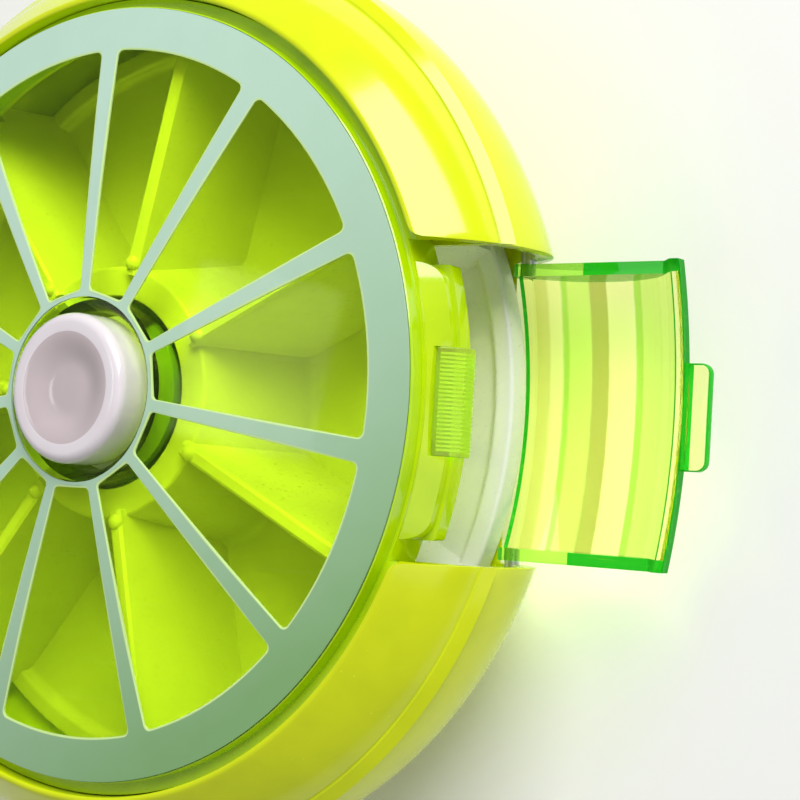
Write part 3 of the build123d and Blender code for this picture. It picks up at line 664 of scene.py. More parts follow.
def order_faces(work: bmesh.types.BMesh) -> None:
    """Put the faces of an open mesh in an order that is the same in every run.

    Args:
        work: the open mesh.
    """
    work.verts.index_update()
    count = len(work.verts)
    work.faces.sort(key=lambda face: sum(
        number * count ** place
        for place, number in enumerate(sorted(vert.index for vert in face.verts))))


def bake_modifiers(piece: bpy.types.Object) -> None:
    """Turn a piece's modifiers into its plain mesh.

    Args:
        piece: the piece that is changed.
    """
    bpy.context.view_layer.update()
    depsgraph = bpy.context.evaluated_depsgraph_get()
    mesh = bpy.data.meshes.new_from_object(piece.evaluated_get(depsgraph))
    mesh.name = piece.name
    piece.modifiers.clear()
    piece.data = mesh


def smooth(piece: bpy.types.Object, sharp: float) -> None:
    """Shade a piece smooth, with its edges sharp past an angle in degrees."""
    piece.data.shade_smooth()
    piece.data.set_sharp_from_angle(angle=radians(sharp))


def finished(name: str, mesh: bpy.types.Mesh, sharp: float = SHARP,
             bevel: float = 0.0) -> bpy.types.Object:
    """Merge, orient and smooth a mesh, round its sharp edges and put it on an object.

    Args:
        name: the object's name.
        mesh: the mesh, in metres.
        sharp: angle in degrees past which an edge stays sharp.
        bevel: width in millimetres of the rounding of sharp edges.

    Returns:
        The new object, at the origin.
    """
    with opened(mesh) as work:
        bmesh.ops.remove_doubles(work, verts=work.verts, dist=MERGE_M)
        bmesh.ops.dissolve_degenerate(work, dist=FLAT_M, edges=work.edges)
        bmesh.ops.recalc_face_normals(work, faces=work.faces)
    piece = in_scene(name, mesh)
    if bevel > 0:
        modifier = piece.modifiers.new("round", "BEVEL")
        modifier.width = bevel * MM
        modifier.segments = ROUND_SEGMENTS
        modifier.limit_method = "ANGLE"
        modifier.angle_limit = radians(sharp)
        modifier.harden_normals = False
        bake_modifiers(piece)
    smooth(piece, sharp)
    return piece


def mesh_piece(name: str, points: list[Vector], faces: list[Face], sharp: float = SHARP,
               bevel: float = 0.0) -> bpy.types.Object:
    """Make an object from points and faces.

    Args:
        name: the object's name.
        points: its points in millimetres.
        faces: its faces as point numbers.
        sharp: angle in degrees past which an edge stays sharp.
        bevel: width in millimetres of the rounding of sharp edges.

    Returns:
        The new object, at the origin.
    """
    mesh = bpy.data.meshes.new(name)
    mesh.from_pydata([p * MM for p in points], [], faces)
    return finished(name, mesh, sharp, bevel)


def joined(piece: bpy.types.Object, other: bpy.types.Object) -> None:
    """Join another piece to a piece by a boolean, and remove the other.

    Args:
        piece: the piece that is changed.
        other: what is joined to it.
    """
    modifier = piece.modifiers.new("join", "BOOLEAN")
    modifier.operation = "UNION"
    modifier.solver = "EXACT"
    modifier.object = other
    bake_modifiers(piece)
    bpy.data.objects.remove(other)


def loft_faces(columns: int, rows: int, closed: bool) -> list[Face]:
    """Faces between outlines that follow one another.

    Args:
        columns: how many outlines there are.
        rows: points of each outline.
        closed: True where the last outline meets the first, False for two end faces.

    Returns:
        The faces as point numbers.
    """
    faces: list[Face] = []
    for i in range(columns if closed else columns - 1):
        a, b = i * rows, (i + 1) % columns * rows
        for j in range(rows):
            k = (j + 1) % rows
            faces.append((a + j, b + j, b + k, a + k))
    if not closed:
        count = columns * rows
        faces += [tuple(range(rows)), tuple(range(count - 1, count - rows - 1, -1))]
    return faces


def lathe(name: str, outline: Outline, steps: int = TURN_STEPS,
          gap: Callable[[float, float], float] | None = None, band: float = 0.0,
          sharp: float = SHARP, bevel: float = 0.0) -> bpy.types.Object:
    """Turn a closed outline about the axis, all the way, short of a gap, or only across a band.

    Args:
        name: the object's name.
        outline: closed outline of (radius, height) in millimetres.
        steps: pieces round the turn.
        gap: gives the half width left open at +X for a radius and a height, or None.
        band: half width of the stretch at +X that is kept, or 0 for the whole turn.
        sharp: angle in degrees past which an edge stays sharp.
        bevel: width in millimetres of the rounding of sharp edges.

    Returns:
        The new object.
    """
    points: list[Vector] = []
    closed = gap is None and not band
    columns = steps if closed else steps + 1
    for i in range(columns):
        share = i / steps
        for r, z in outline:
            if closed:
                turn = 2 * pi * share
            elif band:
                turn = asin(min(1.0, band / r)) * (2 * share - 1)
            else:
                edge = asin(min(1.0, gap(r, z) / r))
                turn = edge + (2 * pi - 2 * edge) * share
            points.append(Vector((r * cos(turn), r * sin(turn), z)))
    return mesh_piece(name, points, loft_faces(columns, len(outline), closed), sharp, bevel)


def prism(name: str, outline: Outline, low: float, high: float, axis: Axis = Axis.Z,
          sharp: float = SHARP, bevel: float = 0.0) -> bpy.types.Object:
    """Straight solid with a closed outline.

    Args:
        name: the object's name.
        outline: closed outline in millimetres, in the two coordinates across the axis.
        low: where it starts along the axis.
        high: where it ends.
        axis: the axis.
        sharp: angle in degrees past which an edge stays sharp.
        bevel: width in millimetres of the rounding of sharp edges.

    Returns:
        The new object.
    """
    count, at = len(outline), axis.value
    points = [Vector((*point[:at], level, *point[at:]))
              for level in (low, high) for point in outline]
    faces: list[Face] = [tuple(range(count)), tuple(range(2 * count - 1, count - 1, -1))]
    faces += [(i, (i + 1) % count, count + (i + 1) % count, count + i) for i in range(count)]
    return mesh_piece(name, points, faces, sharp, bevel)


def copy_of_node(name: str, node: str, bevel: float, sharp: float = 30.0) -> bpy.types.Object:
    """Smooth copy of a CAD node, its sharp edges rounded by a bevel in millimetres."""
    return finished(name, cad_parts[node].data.copy(), sharp, bevel)


def dress(piece: bpy.types.Object, body: str, slot: str, nodes: tuple[str, ...],
          *finishes: bpy.types.Material) -> None:
    """Give a finished piece its materials, its body and the nodes it stands for.

    Args:
        piece: the finished piece.
        body: the CAD body it rides on.
        slot: the record's material slot; not used.
        nodes: the CAD nodes it replaces.
        finishes: its materials, in slot order; none where it has them already.
    """
    if finishes:
        slots = [face.material_index for face in piece.data.polygons]
        piece.data.materials.clear()
        for finish in finishes:
            piece.data.materials.append(finish)
        piece.data.polygons.foreach_set("material_index", slots)
    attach(piece, body)
    if nodes:
        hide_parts(*nodes)
    LOG.info("%s rides on %s, %d faces", piece.name, body, len(piece.data.polygons))


def copies_tree(name: str, turned: bool) -> bpy.types.NodeTree:
    """Geometry Nodes tree that repeats a source piece round the axis or along a line.

    Args:
        name: the tree's name.
        turned: True for copies round the axis, False for copies along a line.

    Returns:
        The tree, with inputs Source, Count, Start, Step, Merge and Material.
    """
    kind = "NodeSocketFloat" if turned else "NodeSocketVector"
    wiring, given, out = group_tree(
        name, "GeometryNodeTree",
        {"Geometry": ("NodeSocketGeometry", None), "Source": ("NodeSocketObject", None),
         "Count": ("NodeSocketInt", 1), "Start": (kind, None), "Step": (kind, None),
         "Merge": ("NodeSocketFloat", COPY_MERGE_M), "Material": ("NodeSocketMaterial", None)},
        {"Geometry": "NodeSocketGeometry"})
    source = wiring.put("GeometryNodeObjectInfo", {"Object": given["Source"]})
    turns: Inputs = {}
    if turned:
        steps = {"Offset": (0.0, 0.0, 0.0)}
        index = wiring.put("GeometryNodeInputIndex").outputs[0]
        turn = wiring.maths("MULTIPLY_ADD", index, given["Step"], given["Start"])
        turns["Rotation"] = wiring.put("ShaderNodeCombineXYZ", {"Z": turn}).outputs[0]
    else:
        steps = {"Start Location": given["Start"], "Offset": given["Step"]}
    line = wiring.put("GeometryNodeMeshLine", {"Count": given["Count"], **steps})
    placed = wiring.put("GeometryNodeInstanceOnPoints", {
        "Points": line.outputs["Mesh"], "Instance": source.outputs["Geometry"], **turns})
    whole = wiring.put("GeometryNodeRealizeInstances", {0: placed.outputs[0]})
    merged = wiring.put("GeometryNodeMergeByDistance", {
        "Geometry": whole.outputs[0], "Distance": given["Merge"]})
    painted = wiring.put("GeometryNodeSetMaterial", {
        "Geometry": merged.outputs[0], "Material": given["Material"]})
    wiring.fill(out, {"Geometry": painted.outputs[0]})
    return wiring.tree


ROUND_TREE = copies_tree("copies_round_the_axis", True)
ROW_TREE = copies_tree("copies_in_a_row", False)


def repeated(name: str, source: bpy.types.Object, tree: bpy.types.NodeTree, count: int,
             start: object, step: object, material: bpy.types.Material) -> bpy.types.Object:
    """Plain mesh of a source piece repeated by a Geometry Nodes tree; the source is removed.

    Args:
        name: the new object's name.
        source: the piece that is repeated.
        tree: one of the trees above.
        count: number of copies.
        start: first turn in radians, or first place in metres.
        step: turn or place from one copy to the next.
        material: material of every copy.

    Returns:
        The new object.
    """
    holder = in_scene(name, bpy.data.meshes.new(name))
    modifier = holder.modifiers.new("copies", "NODES")
    modifier.node_group = tree
    sockets = {s.name: s.identifier for s in tree.interface.items_tree if s.in_out == "INPUT"}
    values = {"Source": source, "Count": count, "Start": start, "Step": step,
              "Merge": COPY_MERGE_M, "Material": material}
    for label, value in values.items():
        modifier[sockets[label]] = value
    bake_modifiers(holder)
    bpy.data.objects.remove(source)
    return holder


@dataclass
class CasingLines:
    """The casing's outline, shared by the shell and the flap door, in millimetres and degrees."""

    widest_r: float
    lip_r: float
    lip_z: float
    shoulder_r: float = 11.5
    shoulder_slope: float = 41.0
    belly_r: float = 8.7
    belly_slope: float = 25.0

    @property
    def shoulder_turn(self) -> float:
        """Angle of the shoulder arc's upper end, in degrees."""
        return 90 - self.shoulder_slope

    @property
    def widest_z(self) -> float:
        """Height of the widest circle.

        Returns:
            The height.
        """
        turn = radians(self.shoulder_turn)
        tangent_r = self.widest_r - self.shoulder_r + self.shoulder_r * cos(turn)
        fall = (tangent_r - self.lip_r) * tan(radians(self.shoulder_slope))
        return self.lip_z - fall - self.shoulder_r * sin(turn)

    def slope_r(self, inset: float, z: float) -> float:
        """Radius of the sloped top at a height.

        Args:
            inset: distance in from the outer face.
            z: the height.

        Returns:
            The radius.
        """
        turn = radians(self.shoulder_turn)
        radius = self.shoulder_r - inset
        start_r = self.widest_r - self.shoulder_r + radius * cos(turn)
        start_z = self.widest_z + radius * sin(turn)
        return start_r - (z - start_z) / tan(radians(self.shoulder_slope))

    def side(self, inset: float, low: float, high: float, pieces: int = 18) -> Outline:
        """Outline from a low height up to a high one, moved in by inset.

        Args:
            inset: distance in from the outer face.
            low: height where it starts, on the lower arc or the slanted line below it.
            high: height where it ends, on the sloped top.
            pieces: pieces of each arc.

        Returns:
            The points, from low to high.
        """
        radius = self.belly_r - inset
        centre = self.widest_r - self.belly_r
        end = radians(-(90 - self.belly_slope))
        arc_low = self.widest_z + radius * sin(end)
        points: Outline = []
        if low < arc_low:
            run = (arc_low - low) / tan(radians(self.belly_slope))
            points.append((centre + radius * cos(end) - run, low))
            first = end
        else:
            first = -asin((self.widest_z - low) / radius)
        points += [(centre + radius * cos(a), self.widest_z + radius * sin(a))
                   for a in (first * (1 - k / pieces) for k in range(pieces + 1))]
        radius = self.shoulder_r - inset
        centre = self.widest_r - self.shoulder_r
        turn = radians(self.shoulder_turn)
        points += [(centre + radius * cos(a), self.widest_z + radius * sin(a))
                   for a in (turn * k / pieces for k in range(1, pieces + 1))]
        if high > points[-1][1]:
            points.append((self.slope_r(inset, high), high))
        return points


@dataclass
class Casing:
    """Upper shell and base of the organizer, in millimetres."""

    lines: CasingLines
    parting_z: float
    wall: float = 1.6
    lip_wall: float = 0.5
    lip_start: float = 0.45
    lip_outside: tuple[Point, ...] = ((0.14, -0.12), (-0.02, -0.02), (-0.2, 0.0))
    lip_inside: tuple[Point, ...] = ((0.12, -0.04), (0.02, -0.14))
    lip_foot: float = 0.3
    opening_half: float = 13.6
    corner: float = 1.2
    corner_z: float = 22.2
    ledge_inset: float = 1.1
    ledge_h: float = 0.8
    shell_steps: int = 300
    shell_round: float = 0.28
    base_round: float = 0.12

    def gap(self, r: float, z: float) -> float:
        """Half width of the opening, wider at the lip's rounded corners.

        Args:
            r: radius of a point of the wall.
            z: its height.

        Returns:
            The half width there.
        """
        away = self.corner - (r - (self.lines.lip_r - self.lip_wall))
        if z < self.corner_z or away <= 0:
            return self.opening_half
        drop = sqrt(max(0.0, self.corner ** 2 - min(away, self.corner) ** 2))
        return self.opening_half + self.corner - drop

    def shell_outline(self) -> Outline:
        """Closed outline of the shell's wall, with its rounded lip.

        Returns:
            The outline, in radius and height.
        """
        lines = self.lines
        lip_in = lines.lip_r - self.lip_wall
        outer = lines.side(0.0, self.parting_z, lines.lip_z - self.lip_start)
        lip = [(lines.lip_r + r, lines.lip_z + z) for r, z in self.lip_outside]
        lip += [(lip_in + r, lines.lip_z + z) for r, z in self.lip_inside]
        inner_top = lines.lip_z - (lip_in - lines.slope_r(self.wall, lines.lip_z)) * tan(
            radians(lines.shoulder_slope))
        inner = lines.side(self.wall, self.parting_z, inner_top)
        return outer + lip + [(lip_in, inner_top + self.lip_foot)] + inner[::-1]

    def build(self, finishes: Finishes) -> None:
        """Make the shell, the ledge below the collar and the base.

        Args:
            finishes: the organizer's materials.
        """
        shell = lathe("outer_shell_skin", self.shell_outline(), self.shell_steps, gap=self.gap,
                      bevel=self.shell_round)
        top = node_box("collar_ring")[0].z
        low, inner_r = top - self.ledge_h, node_box("clear_cover")[1].x - self.ledge_inset
        low_r, top_r = (self.lines.slope_r(self.wall / 2, z) for z in (low, top))
        ledge = lathe("ledge", [(inner_r, low), (low_r, low), (top_r, top), (inner_r, top)],
                      gap=lambda r, z: self.opening_half)
        base = copy_of_node("base_dish_skin", "base_dish", self.base_round)
        dress(shell, "case", "casing_green", ("outer_shell",), finishes.casing)
        dress(ledge, "case", "casing_green", (), finishes.casing)
        dress(base, "case", "casing_green", ("base_dish",), finishes.casing)


@dataclass
class Collar:
    """Collar under the cover's edge, with its bridge and the serrated catch, in millimetres."""

    collar_round: float = 0.14
    crest: float = 0.5
    slope: float = 41.0
    body_corner: float = 0.12
    body_round: float = 0.1
    ridges: int = 24
    ridge_h: float = 0.13
    ridge_w: float = 0.19
    ridge_foot: float = 0.1
    ridge_corners: tuple[float, ...] = (0.0, 0.08, 0.15, 0.1, 0.0)
    end: float = 0.45

    def catch_profile(self, low: Vector, high: Vector, inset: float) -> Outline:
        """Side outline of the catch: flat crest, sloped top and straight front, moved in by inset.

        Args:
            low: lowest corner of the catch.
            high: highest corner of the catch.
            inset: distance in from the sloped top and the front.

        Returns:
            The outline in (x, z), from the back's foot round to the back's top.
        """
        fall = tan(radians(self.slope))
        crest, front, top = low.x + self.crest, high.x - inset, high.z - inset
        return [(low.x, low.z), (front, low.z), (front, top - (front - crest) * fall),
                (crest, top), (low.x, top)]

    def build(self, finishes: Finishes) -> None:
        """Make the collar, the catch and its ridges.

        Args:
            finishes: the organizer's materials.
        """
        collar = copy_of_node("collar_ring_skin", "collar_ring", self.collar_round)
        dress(collar, "case", "collar_green", ("collar_ring",), finishes.collar)
        low, high = node_box("door_catch")
        body = rounded([(x, z, self.body_corner)
                        for x, z in self.catch_profile(low, high, self.ridge_h)], steps=4)
        block = prism("door_catch_skin", body, low.y, high.y, Axis.Y, bevel=self.body_round)
        dress(block, "case", "clear_green", ("door_catch",), finishes.catch)
        _, (front, _), brow, crest, _ = self.catch_profile(low, high, 0.0)
        foot = low.z + self.ridge_foot
        rib = [(low.x + 2 * self.crest, foot), (front, foot), brow, crest,
               (crest[0], crest[1] - 2 * self.ridge_h)]
        start = low.y + self.end
        rib = rounded([(x, z, radius) for (x, z), radius in zip(rib, self.ridge_corners)], steps=3)
        ridge = prism("ridge", rib, start, start + self.ridge_w, Axis.Y)
        pitch = (high.y - low.y - 2 * self.end - self.ridge_w) / (self.ridges - 1)
        row = repeated("door_catch_ridges", ridge, ROW_TREE, self.ridges, (0.0, 0.0, 0.0),
                       (0.0, MM * pitch, 0.0), finishes.catch)
        dress(row, "case", "clear_green", ())


def ray_length(centre: Vector, aim: Vector, outline: Outline) -> float:
    """Distance from a centre to a closed outline along a direction.

    Args:
        centre: where the ray starts, inside the outline.
        aim: its direction, of length 1.
        outline: the outline.

    Returns:
        The distance.
    """
    best = 0.0
    for i, (x, y) in enumerate(outline):
        a = Vector((x, y)) - centre
        b = Vector(outline[(i + 1) % len(outline)]) - centre
        side_a, side_b = aim.x * a.y - aim.y * a.x, aim.x * b.y - aim.y * b.x
        if side_a * side_b <= 0 and side_a != side_b:
            best = max(best, a.lerp(b, side_a / (side_a - side_b)).dot(aim))
    return best


@dataclass
class Cover:
    """Clear domed cover with its neck, and the citrus print on it, in millimetres."""

    radius: float
    edge_z: float
    rise: float = 1.65
    wall: float = 1.5
    dome_steps: int = 14
    edge_start: float = 0.15
    edge_round: tuple[Point, ...] = ((-0.04, -0.06), (0.0, -0.2))
    edge_zone: float = 0.1
    neck_in_r: float = 7.4
    neck_wall: float = 1.4
    neck_ledge: float = 0.5
    neck_flare: float = 1.1
    flare_curve: tuple[Point, ...] = ((0.0, 2.0), (0.25, 1.0))
    flare_lip: Point = (0.3, 0.22)
    sharp: float = 28.0
    film: float = 0.19
    film_inset: float = 0.2
    film_sharp: float = 40.0
    segments: int = 11
    rind: float = 4.0
    core: float = 0.7
    core_gap: float = 0.15
    rib_inner: float = 1.15
    rib_outer: float = 2.1
    window_corner: float = 3.4
    window_tip: float = 0.5
    window_shift: float = 3.0
    window_rays: int = 72
    bow_half: int = 6
    line_w: float = 0.14
    line_fade: float = 0.1
    line_drop: float = 0.05
    line_most: float = 0.3
    narrow: float = 0.05
    film_rings: tuple[float, ...] = (0.33, 0.66, 1.0)
    rim_zone: float = 0.4
    core_zone: float = 0.5

    @property
    def mouth_r(self) -> float:
        """Radius of the neck's flared mouth."""
        return self.neck_in_r + self.neck_flare

    def dome(self, r: float) -> float:
        """Height of the moulded dome at a radius."""
        sphere = (self.radius ** 2 + self.rise ** 2) / (2 * self.rise)
        return self.edge_z + self.rise - sphere + sqrt(sphere ** 2 - r ** 2)

    def plate_outline(self) -> Outline:
        """Closed outline of the cover with its neck.

        Returns:
            The outline, in radius and height.
        """
        count, mouth = self.dome_steps, self.mouth_r
        neck = self.neck_in_r + self.neck_wall
        low, seat = node_box("clear_cover")[0].z, node_box("spring_seat")[0].z
        outer = [mouth + (self.radius - self.edge_start - mouth) * k / count
                 for k in range(count + 1)]
        top = [(r, self.dome(r)) for r in outer]
        edge = [(self.radius + r, self.edge_z + z) for r, z in self.edge_round]
        inner = [neck + (self.radius - neck) * k / count for k in range(count - 1, -1, -1)]
        under = [(self.radius, self.edge_z - self.wall)]
        under += [(r, self.dome(r) - self.wall) for r in inner]
        ledge, mouth_z = self.neck_in_r - self.neck_ledge, self.dome(mouth)
        skirt = [(neck, low), (ledge, low), (ledge, seat), (self.neck_in_r, seat)]
        flare = [(self.neck_in_r + out * self.neck_flare, mouth_z - down * self.neck_flare)
                 for out, down in self.flare_curve]
        lip = [(mouth - self.flare_lip[0], mouth_z - self.flare_lip[1])]
        return top + edge + under + skirt + flare + lip

    def sector_points(self) -> tuple[Outline, Outline]:
        """Matching points round one window of the print and round its sector.

        Returns:
            The window's points and the sector's points.
        """
        half = pi / self.segments
        print_r = self.radius - self.film_inset
        core_in = self.mouth_r + self.core_gap
        r_in, r_out = core_in + self.core, print_r - self.rind

        def corner(r: float, width: float) -> Point:
            """Corner of the window at a radius, half a rib in from the sector's side."""
            turn = half - asin(width / 2 / r)
            return r * cos(turn), r * sin(turn)

        (x_in, y_in), (x_out, y_out) = corner(r_in, self.rib_inner), corner(r_out, self.rib_outer)
        turn = atan2(y_out, x_out)
        bow = [(r_out * cos(a), -r_out * sin(a), 0.0)
               for a in (turn * (1 - k / self.bow_half) for k in range(1, 2 * self.bow_half))]
        window = rounded([(x_in, -y_in, self.window_tip), (x_out, -y_out, self.window_corner)] + bow
                         + [(x_out, y_out, self.window_corner), (x_in, y_in, self.window_tip)],
                         steps=8)
        centre = Vector(((r_in + r_out) / 2 + self.window_shift, 0.0))
        corners = [(r * cos(half), s * r * sin(half)) for r in (print_r, core_in) for s in (-1, 1)]
        rays = self.window_rays
        turns = sorted([2 * pi * (k + 0.5) / rays - pi for k in range(rays)]
                       + [atan2(y - centre.y, x - centre.x) for x, y in (*corners, *window)])
        inner, outer = [], []
        for turn in turns:
            aim = Vector((cos(turn), sin(turn)))
            inner.append(tuple(centre + aim * ray_length(centre, aim, window)))
            outer.append(self.sector_edge(centre, aim, half, core_in, print_r))
        return inner, outer

    def sector_edge(self, centre: Vector, aim: Vector, half: float, low: float,
                    high: float) -> Point:
        """Where a ray from the centre leaves the sector between two radii.

        Args:
            centre: where the ray starts.
            aim: its direction, of length 1.
            half: the sector's half angle in radians.
            low: the inner radius.
            high: the outer radius.

        Returns:
            The point.
        """
        hits = []
        for sign in (-1, 1):
            normal = Vector((-sin(half), sign * cos(half)))
            if aim.dot(normal) > TINY:
                hits.append(-centre.dot(normal) / aim.dot(normal))
        along = centre.dot(aim)
        hits.append(-along + sqrt(along ** 2 - centre.length_squared + high ** 2))
        inside = along ** 2 - centre.length_squared + low ** 2
        if inside > 0 and along < 0:
            hits.append(-along - sqrt(inside))
        return tuple(centre + aim * min(h for h in hits if h > 0))

    def film_points(self, inner: Outline, outer: Outline) -> tuple[list[Vector], list[float], int]:
        """Points of one sector of the film, lower sheet first, from the window outwards.

        Args:
            inner: points round the window.
            outer: matching points round the sector.

        Returns:
            The points, which of them lie on the pale painted highlight line, and the rings of each
            sheet.
        """
        lined = (0.0, self.line_w, self.line_w + self.line_fade)
        shares = (*lined, *self.film_rings)
        points: list[Vector] = []
        edge: list[float] = []
        for lift in (0.0, self.film):
            for k, share in enumerate(shares):
                for (ax, ay), (bx, by) in zip(inner, outer):
                    width = max(hypot(bx - ax, by - ay), self.narrow)
                    most = self.line_most + self.narrow * k
                    part = min(share / width, most) if k < len(lined) else share
                    x, y = ax + (bx - ax) * part, ay + (by - ay) * part
                    drop = self.line_drop if k == 0 and lift else 0.0
                    points.append(Vector((x, y, self.dome(hypot(x, y)) + lift - drop)))
                    edge.append(1.0 if k < 2 else 0.0)
        return points, edge, len(shares)

    def print_sector(self) -> bpy.types.Object:
        """One sector of the film: rind, half ribs and core round a window, domed and closed.

        Returns:
            The sector, a piece to repeat.
        """
        inner, outer = self.sector_points()
        points, edge, rings = self.film_points(inner, outer)
        count = len(inner)
        sheet, last = rings * count, (rings - 1) * count
        faces: list[Face] = []
        for level in (0, sheet):
            for k in range(rings - 1):
                a, b = level + k * count, level + (k + 1) * count
                faces += [(a + i, a + (i + 1) % count, b + (i + 1) % count, b + i)
                          for i in range(count)]
        for i in range(count):
            j = (i + 1) % count
            faces.append((i, j, sheet + j, sheet + i))
            near, far = sorted(hypot(*outer[n]) for n in (i, j))
            if near > self.radius - self.rim_zone or far < self.mouth_r + self.core_zone:
                faces.append((last + i, last + j, sheet + last + j, sheet + last + i))
        mesh = bpy.data.meshes.new("print_sector")
        mesh.from_pydata([p * MM for p in points], [], faces)
        # The edge attribute marks the painted highlight line along the film's edges.
        mesh.attributes.new("edge", "FLOAT", "POINT").data.foreach_set("value", edge)
        return in_scene("print_sector", mesh)

    def part_of(self, face: bpy.types.MeshPolygon) -> CoverPart:
        """Which part of the cover a face belongs to.

        Args:
            face: a face of the cover.

        Returns:
            The part.
        """
        r = hypot(*(face.center / MM).xy)
        if r > self.radius - self.edge_zone:
            return CoverPart.RIM
        return CoverPart.NECK if r < self.mouth_r else CoverPart.PLATE

    def build(self, finishes: Finishes) -> None:
        """Make the cover and its print.

        Args:
            finishes: the organizer's materials.
        """
        plate = lathe("clear_cover_skin", self.plate_outline(), sharp=self.sharp)
        for face in plate.data.polygons:
            face.material_index = self.part_of(face).value
        dress(plate, "case", "clear_green", ("clear_cover",), finishes.cover, finishes.neck,
              finishes.cover_rim)
        step = 2 * pi / self.segments
        film = repeated("slice_print_film", self.print_sector(), ROUND_TREE, self.segments,
                        pi / 2 + step / 2, step, finishes.film)
        whole = finished("slice_print_skin", film.data, self.film_sharp)
        bpy.data.objects.remove(film)
        dress(whole, "case", "print_mint", ("slice_print",), finishes.film)


@dataclass
class Tray:
    """White tray: floor, lip, hub and seven tapered dividers, in millimetres and degrees."""

    compartments: int = 7
    cover_gap: float = 0.3
    floor: float = 1.35
    lip_w: float = 1.9
    lip_h: float = 1.1
    lip_foot: float = 0.3
    hub_foot_r: float = 14.6
    hub_top_r: float = 11.9
    hub_wall: float = 1.4
    hub_drop: float = 0.8
    bore_r: float = 12.2
    bore_h: float = 4.35
    mouth_r: float = 9.1
    divider_top: float = 1.4
    divider_draft: float = 5.0
    divider_sink: float = 0.4
    divider_crown: float = 0.22
    crown_share: float = 0.62
    hub_bite: float = 0.6
    shoulder_r: float = 34.6
    shoulder_h: float = 8.8
    shoulder_cut: float = 0.5
    step_cut: float = 0.25
    end_gaps: Point = (0.8, 0.35)
    end_drop: float = 0.45
    bead_r: float = 0.8
    bead_proud: float = 0.5
    bead_steps: tuple[int, int] = (20, 12)
    sharp: float = 30.0

    def divider(self, tray_r: float, floor_z: float, top_z: float) -> bpy.types.Object:
        """One divider along +X, tapered, stepped down at its outer end, with its bead.

        Args:
            tray_r: radius of the tray.
            floor_z: height of its floor.
            top_z: height of the divider's top.

        Returns:
            The divider, a piece to repeat.
        """
        def half(z: float) -> float:
            """Half thickness at a height."""
            return self.divider_top / 2 + (top_z - z) * tan(radians(self.divider_draft))

        low, step_z = floor_z - self.divider_sink, floor_z + self.shoulder_h
        stations = [(self.hub_top_r - self.hub_bite, top_z),
                    (self.shoulder_r - self.shoulder_cut, top_z),
                    (self.shoulder_r, top_z - self.shoulder_cut),
                    (self.shoulder_r, step_z + self.step_cut),
                    (self.shoulder_r + self.step_cut, step_z),
                    (tray_r - self.end_gaps[0], step_z),
                    (tray_r - self.end_gaps[1], step_z - self.end_drop)]
        points: list[Vector] = []
        for x, z in stations:
            below = z - self.divider_crown
            right = [(half(low), low), (half(below), below), (half(z) * self.crown_share, z)]
            points += [Vector((x, -y, level)) for y, level in right]
            points += [Vector((x, y, level)) for y, level in reversed(right)]
        faces = loft_faces(len(stations), len(points) // len(stations), False)
        blade = mesh_piece("divider", points, faces, self.sharp)
        bead_z = top_z - self.bead_r + self.bead_proud
        centre = Vector((self.hub_top_r + self.bead_proud, 0, bead_z)) * MM
        with opened(blade.data) as work:
            bmesh.ops.create_uvsphere(work, u_segments=self.bead_steps[0],
                                      v_segments=self.bead_steps[1], radius=self.bead_r * MM,
                                      matrix=Matrix.Translation(centre))
            order_faces(work)
        return blade

    def build(self, finishes: Finishes) -> None:
        """Make the tray's dish and its dividers.

        Args:
            finishes: the organizer's materials.
        """
        low, high = node_box("compartment_tray")
        tray_r, low_z = high.x, low.z
        floor_z = low_z + self.floor
        top_z = node_box("collar_ring")[1].z - self.cover_gap
        lip_z, hub_z = floor_z + self.lip_h, top_z - self.hub_drop
        lip_r, roof_z = tray_r - self.lip_w, hub_z - self.hub_wall
        dish = rounded([
            (self.bore_r, low_z, 0.2), (tray_r, low_z, 0.3), (tray_r, lip_z, 0.35),
            (lip_r, lip_z, 0.5), (lip_r - self.lip_foot, floor_z, 0.8),
            (self.hub_foot_r, floor_z, 1.2), (self.hub_top_r, hub_z, 0.4),
            (self.mouth_r, hub_z, 0.2), (self.mouth_r, roof_z, 0.2),
            (self.hub_top_r - self.hub_wall, roof_z, 0.2),
            (self.bore_r, low_z + self.bore_h, 0.0)], steps=6)
        tray = lathe("compartment_tray_dish", dish)
        dress(tray, "tray", "tray_white", ("compartment_tray",), finishes.tray)
        step = 2 * pi / self.compartments
        blades = repeated("compartment_tray_dividers", self.divider(tray_r, floor_z, top_z),
                          ROUND_TREE, self.compartments, step / 2, step, finishes.tray)
        smooth(blades, self.sharp)
        dress(blades, "tray", "tray_white", ())


